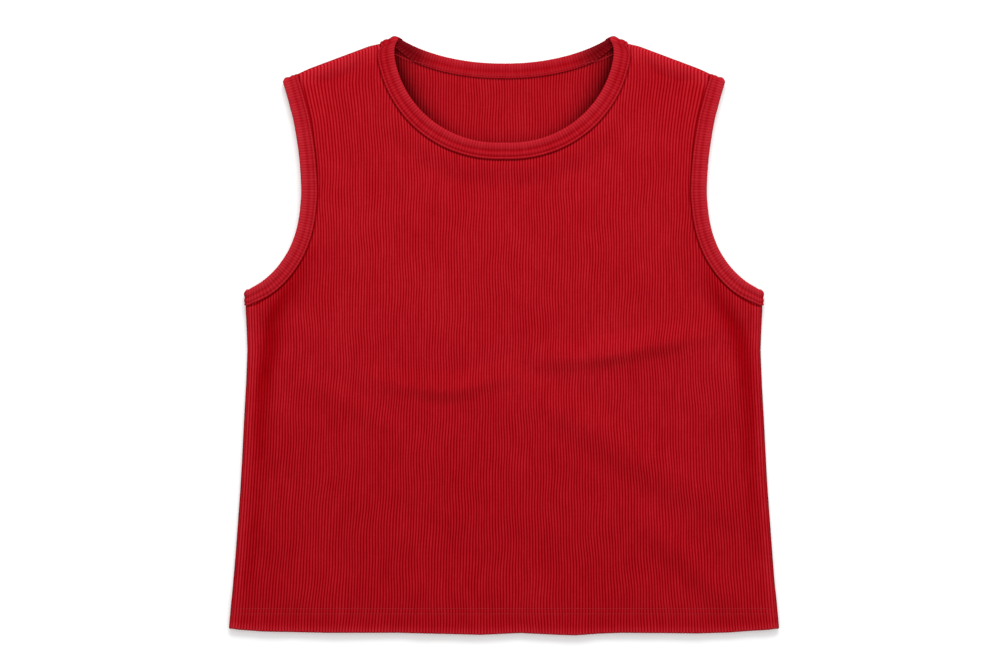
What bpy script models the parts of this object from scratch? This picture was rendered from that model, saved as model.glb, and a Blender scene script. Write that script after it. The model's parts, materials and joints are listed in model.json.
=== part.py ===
"""A cropped rib-knit tank top laid flat: back panel below, front panel above, bound neck and armholes.

The wearer's neck points to +Y, the front of the top faces +Z and the surface it lies on is Z = 0.
All sizes here are millimetres; the meshes are made in metres.
"""
import math

import bmesh
import bpy
import numpy as np

MM = 0.001

# Cloth and seams
WALL = 1.3                  # panel cloth, measured on a rib's crest
RIB_DEPTH = 0.3             # a rib's groove below its crest
BINDING_WALL = 1.0          # one layer of a binding
GAP = 0.3                   # clearance between pieces and between folded layers
RIBS = 186                  # ribs from side seam to side seam
HEM_TURN = 23.0             # height of the turned-up hem
HEM_TURN_WALL = 1.0         # pressed cloth of the turn
EDGE_INSET = 2.4            # a panel's raw edge, inside its binding's fold

# Layers are stacked about a middle height where front and back meet
PANEL_IN = GAP / 2 + BINDING_WALL + GAP        # inner face of a bound panel from the middle
PANEL_OUT = PANEL_IN + WALL                    # its outer face
BINDING_OUT = PANEL_OUT + GAP + BINDING_WALL   # outer face of a binding
BOUND_MID = BINDING_OUT                        # middle height of bound edges, so they rest on Z = 0
BASE_HEIGHT = 4.0                              # outer face of the front where nothing lifts it
HEM_HEIGHT = 5.5                               # outer face of the front over both hems

# How the panels settle away from their raised edges
SHELF_MARGIN = 2.2          # raised cloth beyond a binding's own width
BOUND_FALL = 24.0           # length of the slope below a binding
SHOULDER_FLAT = 2.0
SHOULDER_FALL = 13.0
SIDE_FLAT = 6.0             # the seam allowance inside lifts this strip along the side
SIDE_FALL = 8.0
SIDE_VALLEY = (0.8, 17.0, 6.0)   # depth, distance from the side fold and half width of the dip beside it
HEM_FLAT = 4.0
HEM_FALL = 34.0
HEM_ROLL = 2.2              # where the bottom edge starts to roll under

# Binding widths
ARMHOLE_WIDTH = 12.8
NECK_FRONT_WIDTH = 14.4
NECK_BACK_WIDTH = 11.9
NECK_END_WIDTH = 15.5       # the neck band where it turns over the shoulder
BINDING_CORNER = 0.9        # how round a band's folded edge is
FOLD_CORNER = 0.6           # and how much rounder where it turns over a fold
BINDING_RIB_PITCH = 2.3     # along the band
BINDING_RIB_DEPTH = 0.25    # how far its ribs stand above the band's pressed part
BINDING_RIB_REACH = (1.9, 8.6)   # the ribbed stretch, from the opening's edge

# Neckline: nearly a circle in front, a shallow power curve behind
NECK_CENTRE_Y = 251.3
NECK_DROP = 85.9            # centre down to the front neckline
NECK_SPREAD = 8.0           # how much wider than its drop the neckline is
NECK_ROUNDNESS = 1.3
NECK_HALF = NECK_DROP + NECK_SPREAD
BACK_NECK_Y = 230.9
BACK_NECK_POWER = 1.9
BAND_TIP = 4.0              # how far the neck band's edge bends back in where it meets the shoulder
BAND_TIP_POWER = 30
BACK_BAND_POWER = 2.15

# Shoulder fold: a straight line that falls from neck to armhole
SHOULDER_TOP_Y = 284.5
SHOULDER_SLOPE = 0.374
SHOULDER_COS = 1.0 / math.hypot(1.0, SHOULDER_SLOPE)
SHOULDER_NORMAL = (SHOULDER_SLOPE * SHOULDER_COS, SHOULDER_COS)

# Armhole opening edge, shoulder to underarm: x, y
ARMHOLE = (
    (187.7, 214.3),
    (184.5, 203.7),
    (181.8, 193.5),
    (178.5, 179.9),
    (174.3, 152.7),
    (172.5, 125.5),
    (173.1, 111.9),
    (174.8, 98.3),
    (178.2, 84.7),
    (184.1, 71.1),
    (193.6, 57.5),
    (205.0, 46.8),
    (217.0, 39.4),
)
UNDERARM = ARMHOLE[-1]

# Side seam: y, half width of the silhouette, radius of the fold, lift of the back off the surface
SIDE = (
    (40.0, 219.75, 2.75, 1.3),
    (22.0, 219.75, 2.75, 1.3),
    (4.0, 218.7, 2.3, 0.0),
    (-12.0, 218.1, 2.2, 0.0),
    (-38.0, 219.1, 2.2, 0.0),
    (-72.0, 221.0, 2.2, 0.0),
    (-123.0, 223.6, 2.2, 0.0),
    (-174.0, 227.3, 2.2, 0.0),
    (-208.0, 229.9, 2.2, 0.0),
    (-226.0, 231.8, 2.75, 0.0),
    (-252.0, 234.2, 2.75, 0.0),
)

# Bottom edge of the hem: x, y
HEM_EDGE = (
    (-233.0, -248.8),
    (-224.0, -249.9),
    (-205.0, -251.0),
    (-150.0, -252.3),
    (-90.0, -252.3),
    (-20.0, -253.8),
    (14.0, -252.8),
    (48.0, -254.2),
    (90.0, -252.6),
    (165.0, -252.9),
    (205.0, -250.9),
    (224.0, -249.8),
    (233.0, -248.7),
)

# Soft folds of the front: start, middle and end of the line, rise, reach above and below the line
FOLDS = {
    "bust_crease": ((37.7, -27.5), (115.9, -11.0), (188.9, 0.5), 2.4, 16.0, 9.0),
    "centre_crease": ((-94.9, -41.0), (-50.7, -50.0), (3.7, -35.5), 1.5, 13.0, 9.0),
    "left_crease": ((-162.9, -44.0), (-134.0, -58.0), (-95.0, -78.0), 1.0, 11.0, 9.0),
    "broad_valley": ((17.3, -70.0), (115.9, -118.0), (212.0, -186.0), -0.8, 17.0, 17.0),
    "hip_ridge": ((92.1, -140.0), (146.0, -174.0), (184.0, -236.0), 1.5, 12.0, 12.0),
    "hip_valley": ((112.5, -174.0), (132.9, -199.0), (153.0, -219.0), -0.7, 11.0, 11.0),
}

# Lines of points across both panels: y at each named x
LINE_X = (-217.0, -163.0, -95.0, -50.0, 4.0, 38.0, 92.0, 133.0, 167.0, 189.0, 217.0)
LINES = {
    "above_creases": (-14.0, -30.0, -27.0, -36.0, -22.0, -13.0, -2.0, 5.0, 9.0, 11.0, 6.0),
    "crease_tops": (-40.0, -44.0, -41.0, -50.0, -35.5, -27.5, -16.0, -8.0, -2.5, 0.5, -4.0),
    "below_creases": (-56.0, -58.0, -53.0, -60.0, -45.5, -37.0, -26.0, -18.0, -12.5, -9.0, -14.0),
    "valley": (-100.0, -98.0, -90.0, -90.0, -78.0, -80.0, -106.0, -126.0, -146.0, -162.0, -188.0),
    "hip": (-165.0, -165.0, -165.0, -165.0, -160.0, -155.0, -142.0, -164.0, -202.0, -213.0, -216.0),
}

# Columns are counted in half ribs from the middle: crests are odd, grooves are even
ARMHOLE_COLUMN = 146        # column that touches the armhole at its narrowest
FRONT_PLAIN_COLUMNS = (0, 18, 34, 48, 60, 69, 75, 79, 82, 83, 89, 96, 110, 124, 135, 146,
                       147, 149, 152, 157, 165, 175, 184.6, 186)
BACK_PLAIN_COLUMNS = (0, 22, 42, 58, 70, 78, 83, 89, 96, 110, 124, 135, 146,
                      147, 149, 152, 157, 165, 175, 184.6, 186)
RIM_RINGS = 4               # rings of points round a panel's edge, between its two faces
LEAN_FLAT = 15.0            # ribs beside an armhole that run parallel to it
LEAN_FADE = 13.0            # how fast that lean dies away towards the middle

CLOTH_RED = (0.40, 0.010, 0.018, 1.0)
BINDING_RED = (0.43, 0.018, 0.028, 1.0)


def rounded_step(value):
    """0 below 0, 1 above 1 and smooth between."""
    value = np.clip(value, 0.0, 1.0)
    return value * value * (3.0 - 2.0 * value)


def beside(distance, flat, fall):
    """1 within a flat strip along an edge, falling smoothly to 0."""
    return 1.0 - rounded_step((distance - flat) / fall)


def curve_through(rows, steps):
    """Points of a smooth curve through a table's rows (Catmull-Rom)."""
    rows = np.array(rows)
    ends = np.vstack([2 * rows[0] - rows[1], rows, 2 * rows[-1] - rows[-2]])
    points = []
    for index in range(len(rows) - 1):
        a, b, c, d = ends[index:index + 4]
        for step in range(steps):
            t = step / steps
            points.append(0.5 * (2 * b + (c - a) * t + (2 * a - 5 * b + 4 * c - d) * t * t
                                 + (3 * b - a - 3 * c + d) * t ** 3))
    points.append(rows[-1])
    return np.array(points)


def normals_of(points, opening):
    """Unit normals of a plan curve, on the side away from a point of the opening that it bounds."""
    along = np.gradient(points, axis=0)
    normals = np.stack([-along[:, 1], along[:, 0]], axis=1)
    normals /= np.linalg.norm(normals, axis=1)[:, None]
    flip = np.sum(normals * (points - np.array(opening)), axis=1) < 0
    normals[flip] *= -1
    return normals


ARMHOLE_CURVE = curve_through(ARMHOLE, 8)
ARMHOLE_CENTRE = (230.0, 130.0)
ARMHOLE_NORMALS = normals_of(ARMHOLE_CURVE, ARMHOLE_CENTRE)
NECK_CENTRE = (0.0, NECK_CENTRE_Y)


def armhole_line(offset):
    """The armhole's edge moved into the panel, as its upper and lower branches."""
    points = ARMHOLE_CURVE + offset * ARMHOLE_NORMALS
    narrow = int(np.argmin(points[:, 0]))
    return points[narrow::-1], points[narrow:]


EDGE_UPPER, EDGE_LOWER = armhole_line(EDGE_INSET)
LEVEL_Y = float(EDGE_LOWER[0][1])
NARROW_X = float(EDGE_LOWER[0][0])


def armhole_edge_x(y):
    return float(np.interp(y, EDGE_UPPER[:, 1], EDGE_UPPER[:, 0]))


def below_armhole(x, branch):
    """Height of a lower armhole line at x, run straight on past its end."""
    if x <= branch[-1, 0]:
        return float(np.interp(x, branch[:, 0], branch[:, 1]))
    slope = (branch[-1, 1] - branch[-4, 1]) / (branch[-1, 0] - branch[-4, 0])
    return float(branch[-1, 1] + slope * (x - branch[-1, 0]))


def shoulder_y(x):
    return SHOULDER_TOP_Y - SHOULDER_SLOPE * abs(x)


def front_neck_point(angle, offset=0.0):
    """Point of the front neckline, by its angle from straight down."""
    radius = NECK_DROP + NECK_SPREAD * abs(math.sin(angle)) ** NECK_ROUNDNESS + offset
    return radius * math.sin(angle), NECK_CENTRE_Y - radius * math.cos(angle)


NECK_END_ANGLE = math.acos((NECK_CENTRE_Y - shoulder_y(NECK_HALF)) / NECK_HALF)
NECK_END = front_neck_point(NECK_END_ANGLE)


def front_neck_line(offset):
    return np.array([front_neck_point(NECK_END_ANGLE * step / 60, offset) for step in range(61)])


def back_neck_line(offset):
    """Back neckline from the middle to the shoulder, moved into the panel."""
    across = np.linspace(0.0, NECK_END[0], 61)
    rise = NECK_END[1] - BACK_NECK_Y
    points = np.stack([across, BACK_NECK_Y + rise * (across / NECK_END[0]) ** BACK_NECK_POWER], axis=1)
    return points + offset * normals_of(points, NECK_CENTRE)


BAND_HALF = NECK_HALF - BAND_TIP
BAND_END_Y = shoulder_y(BAND_HALF)


def front_band_line():
    """Opening edge of the neck band in front, from the middle to where it turns over the shoulder."""
    end = math.acos((NECK_CENTRE_Y - BAND_END_Y) / BAND_HALF)
    angle = np.linspace(0.0, end, 91)
    radius = (NECK_DROP + NECK_SPREAD * np.sin(angle) ** NECK_ROUNDNESS
              - BAND_TIP * (angle / end) ** BAND_TIP_POWER)
    return np.stack([radius * np.sin(angle), NECK_CENTRE_Y - radius * np.cos(angle)], axis=1)


def back_band_line():
    across = np.linspace(0.0, BAND_HALF, 61)
    rise = BAND_END_Y - BACK_NECK_Y
    return np.stack([across, BACK_NECK_Y + rise * (across / BAND_HALF) ** BACK_BAND_POWER], axis=1)


def distance_to(points, x, y):
    """Distance in plan to the nearest point of a right-hand line and its mirror image."""
    return float(np.min(np.hypot(points[:, 0] - abs(x), points[:, 1] - y)))


def side_at(y):
    """Fold axis, radius and middle height of the side seam."""
    rows = np.array(SIDE)[::-1]
    half, radius, lift = (float(np.interp(y, rows[:, 0], rows[:, k])) for k in (1, 2, 3))
    return half - radius, radius, radius + lift


def hem_y(x):
    rows = np.array(HEM_EDGE)
    return float(np.interp(x, rows[:, 0], rows[:, 1]))


def fold_rise(x, y):
    """Height that the soft folds add to the front."""
    total = 0.0
    for start, middle, end, rise, above, below in FOLDS.values():
        line = curve_through((start, middle, end), 12)
        gaps = np.hypot(line[:, 0] - x, line[:, 1] - y)
        nearest = int(np.argmin(gaps))
        reach = above if y > line[nearest, 1] else below
        along = nearest / (len(line) - 1)
        taper = math.sin(math.pi * (0.12 + 0.76 * along))
        total += rise * taper * (1.0 - float(rounded_step(gaps[nearest] / reach)))
    return total


class Panel:
    """Front or back: its outline, its outer face and the side that its inner face lies on."""

    def __init__(self, front):
        self.front = front
        self.inward = -1.0 if front else 1.0
        self.neck = front_neck_line(0.0) if front else back_neck_line(0.0)
        self.neck_edge = (front_neck_line if front else back_neck_line)(EDGE_INSET)
        width = NECK_FRONT_WIDTH if front else NECK_BACK_WIDTH
        self.neck_flat = width + SHELF_MARGIN
        self.neck_shelf = (front_neck_line if front else back_neck_line)(self.neck_flat)
        self.shelf_lower = armhole_line(ARMHOLE_WIDTH + SHELF_MARGIN)[1]
        self.lower_lines = FRONT_LOWER_LINES if front else BACK_LOWER_LINES
        half = FRONT_PLAIN_COLUMNS if front else BACK_PLAIN_COLUMNS
        self.plain_columns = sorted({sign * column for column in half for sign in (-1, 1)})

    def outer(self, x, y):
        """Height of the outer face, at a rib's crest."""
        axis, radius, middle = side_at(y)
        near_armhole = beside(distance_to(ARMHOLE_CURVE, x, y), ARMHOLE_WIDTH + SHELF_MARGIN, BOUND_FALL)
        near_neck = beside(distance_to(self.neck, x, y), self.neck_flat, BOUND_FALL)
        below_shoulder = (shoulder_y(x) - y) * SHOULDER_COS
        near_shoulder = beside(below_shoulder, SHOULDER_FLAT, SHOULDER_FALL) if abs(x) > NECK_END[0] else 0.0
        near_side = beside(axis - abs(x), SIDE_FLAT, SIDE_FALL) if y < UNDERARM[1] + SHELF_MARGIN else 0.0
        lift = max(near_armhole, near_neck, near_shoulder)
        if not self.front:
            bound = BOUND_MID - PANEL_OUT
            return max(bound * lift, (middle - radius) * near_side)
        near_hem = beside(y - hem_y(x), HEM_TURN + HEM_FLAT, HEM_FALL)
        height = max(BASE_HEIGHT + (BOUND_MID + PANEL_OUT - BASE_HEIGHT) * lift,
                     BASE_HEIGHT + (middle + radius - BASE_HEIGHT) * near_side,
                     BASE_HEIGHT + (HEM_HEIGHT - BASE_HEIGHT) * near_hem)
        depth, inside, half_width = SIDE_VALLEY
        valley = depth * math.exp(-((axis - abs(x) - inside) / half_width) ** 2)
        folds = fold_rise(x, y) - valley * float(rounded_step((UNDERARM[1] - y) / BOUND_FALL - 1.0))
        if folds < 0.0:
            folds *= 1.0 - near_hem
        return height + folds * (1.0 - max(lift, near_side))

    def top_y(self, x):
        """Upper end of a column: the neckline's edge or the shoulder's fold."""
        if abs(x) >= self.neck_edge[-1, 0]:
            return shoulder_y(x)
        on_neck = float(np.interp(abs(x), self.neck_edge[:, 0], self.neck_edge[:, 1]))
        return min(on_neck, shoulder_y(x))

    def upper_shelf_y(self, x):
        """Line along which the cloth leaves the raised strip beside neck and shoulder."""
        under_shoulder = shoulder_y(x) - (SHOULDER_FLAT + SHOULDER_FALL) / SHOULDER_COS
        if abs(x) > self.neck_shelf[-1, 0]:
            return under_shoulder
        on_shelf = float(np.interp(abs(x), self.neck_shelf[:, 0], self.neck_shelf[:, 1]))
        return min(on_shelf, under_shoulder)

    def armhole_shelf_y(self, x):
        level = LEVEL_Y - LEAN_FLAT
        if abs(x) <= self.shelf_lower[0, 0]:
            return level
        return min(level, below_armhole(abs(x), self.shelf_lower))

    def lower_line(self, name, x):
        """Height of a named line of points below the armholes' narrowest level."""
        if name == "level":
            return LEVEL_Y if abs(x) <= NARROW_X else below_armhole(abs(x), EDGE_LOWER)
        if name == "armhole_shelf":
            return self.armhole_shelf_y(x)
        if name == "armhole_fall":
            shelf = self.armhole_shelf_y(x)
            above = float(np.interp(x, LINE_X, LINES["above_creases"]))
            return max(shelf - BOUND_FALL, 0.5 * (shelf + above))
        if name == "hem_top":
            return hem_y(x) + HEM_TURN + HEM_FLAT
        if name == "hem_roll":
            return hem_y(x) + HEM_ROLL
        return float(np.interp(x, LINE_X, LINES[name]))


FRONT_LOWER_LINES = ("level", "armhole_shelf", "armhole_fall", *LINES, "hem_top", "hem_roll")
BACK_LOWER_LINES = ("level", "armhole_shelf", "armhole_fall", "above_creases", "valley", "hem_top",
                    "hem_roll")
UPPER_LINES = ("middle", "upper_shelf", "top")


def lower_point(panel, column, name):
    """Plan position on a column, which keeps its share of the half width."""
    share = column / RIBS
    x = share * UNDERARM[0]
    y = panel.lower_line(name, x)
    for _ in range(6):
        x = share * side_at(y)[0]
        y = panel.lower_line(name, x)
    if name == "level" and abs(column) <= ARMHOLE_COLUMN:
        y = LEVEL_Y
    return x, y


def upper_point(panel, column, name):
    """Plan position above the level line, where outer columns lean along the armhole."""
    plain_x = column / RIBS * UNDERARM[0]
    inside = max(0.0, NARROW_X - LEAN_FLAT - abs(plain_x))
    lean = math.copysign(math.exp(-inside / LEAN_FADE), plain_x)
    x, y = plain_x, LEVEL_Y
    for _ in range(12):
        top = panel.top_y(x)
        shelf = min(panel.upper_shelf_y(x), top - 2.0)
        y = {"middle": 0.5 * (LEVEL_Y + shelf), "upper_shelf": shelf, "top": top}[name]
        x = plain_x + lean * (armhole_edge_x(y) - NARROW_X)
    return x, y


class Surface:
    """One face of a panel as lists of vertices, with its outline in order."""

    def __init__(self, mesh, panel, columns, depth_of):
        self.mesh, self.panel, self.depth_of = mesh, panel, depth_of
        self.lower = [[self.vertex(lower_point(panel, c, name), c) for c in columns]
                      for name in panel.lower_lines]
        inner = [k for k, c in enumerate(columns) if abs(c) <= ARMHOLE_COLUMN]
        self.first, self.last = inner[0], inner[-1]
        self.upper = [self.lower[0][self.first:self.last + 1]]
        for name in UPPER_LINES:
            self.upper.append([self.vertex(upper_point(panel, columns[k], name), columns[k])
                               for k in inner])
        self.columns = columns
        fill_grid(mesh, self.lower)
        fill_grid(mesh, self.upper)

    def vertex(self, plan, column):
        x, y = plan
        z = self.panel.outer(x, y) + self.panel.inward * self.depth_of(column)
        return self.mesh.verts.new((x * MM, y * MM, z * MM))

    def outline(self):
        """Vertices around the face, each with its place: side number plus fraction along it."""
        columns = self.columns
        right_count = len(self.panel.lower_lines) - 1
        places = []
        for k, vertex in enumerate(self.lower[-1][:-1]):
            places.append((0 + (columns[k] / RIBS + 1) / 2, vertex))
        for k in range(right_count, 0, -1):
            places.append((1 + (right_count - k) / right_count, self.lower[k][-1]))
        for k in range(len(columns) - 1, self.last, -1):
            places.append((2 + (RIBS - columns[k]) / (RIBS - ARMHOLE_COLUMN), self.lower[0][k]))
        for k, row in enumerate(self.upper[:-1]):
            places.append((3 + k / len(UPPER_LINES), row[-1]))
        inner = columns[self.first:self.last + 1]
        for k in range(len(inner) - 1, 0, -1):
            places.append((4 + (ARMHOLE_COLUMN - inner[k]) / (2 * ARMHOLE_COLUMN), self.upper[-1][k]))
        for k in range(len(self.upper) - 1, 0, -1):
            places.append((5 + 1 - k / len(UPPER_LINES), self.upper[k][0]))
        for k in range(self.first, 0, -1):
            places.append((6 + (columns[k] + ARMHOLE_COLUMN) / (ARMHOLE_COLUMN - RIBS), self.lower[0][k]))
        for k in range(0, right_count):
            places.append((7 + k / right_count, self.lower[k][0]))
        return places


def fill_grid(mesh, rows):
    for upper, lower in zip(rows, rows[1:]):
        for k in range(len(upper) - 1):
            mesh.faces.new((upper[k], upper[k + 1], lower[k + 1], lower[k]))


def zip_rings(mesh, outer, inner):
    """Triangles between two closed rings whose vertices carry rising places."""
    a, b = 0, 0
    while a < len(outer) or b < len(inner):
        next_a = outer[a + 1][0] if a + 1 < len(outer) else 8.0 + outer[0][0]
        next_b = inner[b + 1][0] if b + 1 < len(inner) else 8.0 + inner[0][0]
        here_a, here_b = outer[a % len(outer)][1], inner[b % len(inner)][1]
        if b >= len(inner) or (a < len(outer) and next_a <= next_b):
            mesh.faces.new((here_a, outer[(a + 1) % len(outer)][1], here_b))
            a += 1
        else:
            mesh.faces.new((here_a, inner[(b + 1) % len(inner)][1], here_b))
            b += 1


def rim_stations(panel, surface):
    """Points around a panel where its edge is finished: place, kind and plan position."""
    tiny = 1e-4
    stations = []
    for place, vertex in surface.outline():
        x, y = vertex.co.x / MM, vertex.co.y / MM
        side = int(place + 1e-9)
        fraction = place - side
        kind = ("hem", "side", "armhole", "armhole", "top", "armhole", "armhole", "side")[side]
        if side in (0, 1) and fraction < 1e-9:
            kind = "hem_corner"
        elif side == 2 and fraction < 1e-9 or side == 7 and fraction < 1e-9:
            kind = "side"
        elif side == 4 or side == 5 and fraction < 1e-9:
            kind = "shoulder" if abs(x) >= panel.neck_edge[-1, 0] else "neck"
        stations.append([place, kind, x, y])
    finished = []
    count = len(stations)
    for k, station in enumerate(stations):
        before, after = stations[k - 1], stations[(k + 1) % count]
        place, kind, x, y = station
        soft = kind in ("side", "shoulder")
        if soft and before[1] in ("armhole", "neck"):
            finished.append([place - tiny, "corner", *step_back(station, before)])
        finished.append(station)
        if soft and after[1] in ("armhole", "neck"):
            finished.append([place + tiny, "corner", *step_back(station, after)])
    return finished


def step_back(corner, neighbour):
    """A point on the edge just before the corner where the cloth turns over."""
    dx, dy = neighbour[2] - corner[2], neighbour[3] - corner[3]
    length = math.hypot(dx, dy)
    return corner[2] + dx / length * 0.1, corner[3] + dy / length * 0.1


def rounded_edge(radius, ring):
    """Reach and height, from the fold's axis, of the rings that turn an edge to the middle height."""
    half_turn = math.sin(math.pi / 4)
    inner = radius - WALL
    return ((radius * half_turn, radius * half_turn), (radius, GAP / 2),
            (inner, GAP / 2), (inner * half_turn, inner * half_turn))[ring]


def rim_point(panel, kind, x, y, ring):
    """Vertex position on one of the rings between the outer and the inner face."""
    sign = math.copysign(1.0, x)
    up = -panel.inward
    top = panel.outer(x, y)
    if kind in ("side", "hem_corner"):
        axis, radius, middle = side_at(y)
        reach, height = rounded_edge(radius, ring)
        drop = 0.0
        if kind == "hem_corner":
            reach, drop = 0.9 * reach, (-1.1, -1.6, 0.0, 0.0)[ring]
        return sign * (axis + reach), y + drop, middle + up * height
    if kind == "shoulder":
        reach, height = rounded_edge(PANEL_OUT, ring)
        return (x + sign * SHOULDER_NORMAL[0] * reach, y + SHOULDER_NORMAL[1] * reach,
                BOUND_MID + up * height)
    if kind == "hem":
        drop, depth = ((-0.75 * HEM_ROLL, 0.35), (-HEM_ROLL, WALL), (-0.3, WALL + GAP / 2),
                       (-0.15, WALL + GAP / 4))[ring]
        return x, y + drop, top + panel.inward * depth
    shares = (0.04, 0.08, 0.15, 0.6) if kind == "corner" else (0.2, 0.4, 0.6, 0.8)
    return x, y, top + panel.inward * WALL * shares[ring]


def hem_flap(mesh, panel, stations, rings):
    """The turned-up hem: a strip folded inside, from the roll at the bottom edge."""
    over, under = WALL + GAP, WALL + GAP + HEM_TURN_WALL
    corners = ((0.6, under - 0.35), (2.0, under), (HEM_TURN, under), (HEM_TURN, over), (HEM_ROLL, over))
    chains = []
    for k in [k for k, station in enumerate(stations) if station[1] == "hem"]:
        x, edge = stations[k][2], stations[k][3] - HEM_ROLL
        chain = [rings[1][k][1]]
        for rise, depth in corners:
            z = panel.outer(x, edge + max(rise, HEM_ROLL)) + panel.inward * depth
            chain.append(mesh.verts.new((x * MM, (edge + rise) * MM, z * MM)))
        chain.append(rings[2][k][1])
        chains.append(chain)
    for left, right in zip(chains, chains[1:]):
        for k in range(len(left) - 1):
            mesh.faces.new((left[k], left[k + 1], right[k + 1], right[k]))
    caps = [mesh.faces.new(chains[0]), mesh.faces.new(chains[-1])]
    bmesh.ops.triangulate(mesh, faces=caps, ngon_method="EAR_CLIP")


def build_panel(name, front, colour):
    panel = Panel(front)
    mesh = bmesh.new()
    if front:
        ribbed = list(range(-RIBS, RIBS + 1))
        outer = Surface(mesh, panel, ribbed, lambda c: RIB_DEPTH if c % 2 == 0 else 0.0)
    else:
        outer = Surface(mesh, panel, panel.plain_columns, lambda c: 0.0)
    inner = Surface(mesh, panel, panel.plain_columns, lambda c: WALL)
    stations = rim_stations(panel, inner)
    rings = []
    for ring in range(RIM_RINGS):
        rings.append([(place, mesh.verts.new([v * MM for v in rim_point(panel, kind, x, y, ring)]))
                      for place, kind, x, y in stations])
    zip_rings(mesh, outer.outline(), rings[0])
    count = len(stations)
    for k in range(count):
        after = (k + 1) % count
        in_hem = stations[k][1] == "hem" and stations[after][1] == "hem"
        for ring in range(RIM_RINGS - 1):
            if ring == 1 and in_hem:
                continue
            mesh.faces.new((rings[ring][k][1], rings[ring][after][1],
                            rings[ring + 1][after][1], rings[ring + 1][k][1]))
    hem_flap(mesh, panel, stations, rings)
    zip_rings(mesh, inner.outline(), rings[-1])
    add_object(name, mesh, colour)


def add_object(name, mesh, colour):
    """Turn a closed mesh into a named object with its own material."""
    bmesh.ops.recalc_face_normals(mesh, faces=mesh.faces[:])
    data = bpy.data.meshes.new(name)
    mesh.to_mesh(data)
    mesh.free()
    data.shade_smooth()
    data.set_sharp_from_angle(angle=math.radians(50))
    cloth = bpy.data.materials.new(name)
    cloth.use_nodes = True
    shader = cloth.node_tree.nodes["Principled BSDF"]
    shader.inputs["Base Color"].default_value = colour
    shader.inputs["Roughness"].default_value = 0.9
    shader.inputs["Metallic"].default_value = 0.0
    data.materials.append(cloth)
    bpy.context.scene.collection.objects.link(bpy.data.objects.new(name, data))


def binding_section(width, corner):
    """A band folded over an edge: reach into the panel and height from the middle, all round."""
    inner_width = width - 2.0
    under = PANEL_OUT + GAP
    over = PANEL_IN - GAP
    return ((width, under), (1.0, under), (1.0, over), (inner_width, over), (inner_width, GAP / 2),
            (0.9, GAP / 2), (0.0, 1.0), (0.0, BINDING_OUT - corner),
            (corner, BINDING_OUT), (width - 0.4, BINDING_OUT), (width, BINDING_OUT - 0.3))


TOP_FACE = 8                # corner of that section where its upper face begins


class Station:
    """One section of a binding: its edge point, its way into the panel and its turn about the fold."""

    def __init__(self, point, into, width, turn, outward):
        self.point, self.into, self.width, self.turn, self.outward = point, into, width, turn, outward

    def positions(self):
        side, height = math.sin(self.turn), math.cos(self.turn)
        corner = BINDING_CORNER + FOLD_CORNER * side
        for reach, rise in binding_section(self.width, corner):
            yield ((self.point[0] + self.into[0] * reach + self.outward[0] * rise * side) * MM,
                   (self.point[1] + self.into[1] * reach + self.outward[1] * rise * side) * MM,
                   (BOUND_MID + rise * height) * MM)


def strip_stations(points, opening, ends, widths, turn, blend):
    """Sections along one side of a binding, turned at both ends to lie along the folds."""
    normals = normals_of(points, opening)
    steps = np.hypot(*np.diff(points, axis=0).T)
    travelled = np.concatenate([[0.0], np.cumsum(steps)])
    total = travelled[-1]
    stations = []
    for k, point in enumerate(points):
        start = 1.0 - float(rounded_step(travelled[k] / blend))
        finish = 1.0 - float(rounded_step((total - travelled[k]) / blend))
        into = normals[k] * (1.0 - start - finish) + np.array(ends[0]) * start + np.array(ends[1]) * finish
        into /= np.linalg.norm(into)
        end_share = max(start, finish)
        width = widths[0] + (widths[1] - widths[0]) * end_share
        stations.append(Station(point, into, width, turn, (0.0, 0.0)))
    return stations


def turn_over(station, outward, backwards):
    """Sections that carry a binding over a fold, from one face of the garment to the other."""
    turns = [math.pi * step / 6 for step in range(1, 6)]
    if backwards:
        turns.reverse()
    return [Station(station.point, station.into, station.width, turn, outward) for turn in turns]


def ribbed_strip(mesh, stations, near_edge, far_edge):
    """The band's upper face over one strip, with its ribs raised between two lines of points."""
    points = np.array([station.point for station in stations])
    steps = np.hypot(*np.diff(points, axis=0).T)
    travelled = np.concatenate([[0.0], np.cumsum(steps)])
    places = travelled / travelled[-1]
    count = 2 * int(travelled[-1] / BINDING_RIB_PITCH) - 1
    lines = []
    for reach in BINDING_RIB_REACH:
        route = np.array([(np.array(station.point) + station.into * reach) for station in stations])
        line = []
        for k in range(count):
            place = (k + 1) / (count + 1)
            rise = BINDING_OUT + (BINDING_RIB_DEPTH if k % 2 == 0 else 0.0)
            x, y = (float(np.interp(place, places, route[:, axis])) for axis in (0, 1))
            line.append((place, mesh.verts.new((x * MM, y * MM, (BOUND_MID + rise) * MM))))
        lines.append(line)
    zip_lines(mesh, list(zip(places, near_edge)), lines[0])
    fill_grid(mesh, [[vertex for _, vertex in line] for line in lines])
    zip_lines(mesh, lines[1], list(zip(places, far_edge)))
    mesh.faces.new((near_edge[0], lines[0][0][1], lines[1][0][1], far_edge[0]))
    mesh.faces.new((near_edge[-1], far_edge[-1], lines[1][-1][1], lines[0][-1][1]))


def zip_lines(mesh, first, second):
    """Triangles between two open lines whose vertices carry rising places."""
    a, b = 0, 0
    while a < len(first) - 1 or b < len(second) - 1:
        step_first = b == len(second) - 1 or (a < len(first) - 1 and first[a + 1][0] <= second[b + 1][0])
        if step_first:
            mesh.faces.new((first[a][1], first[a + 1][1], second[b][1]))
            a += 1
        else:
            mesh.faces.new((first[a][1], second[b + 1][1], second[b][1]))
            b += 1


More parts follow.
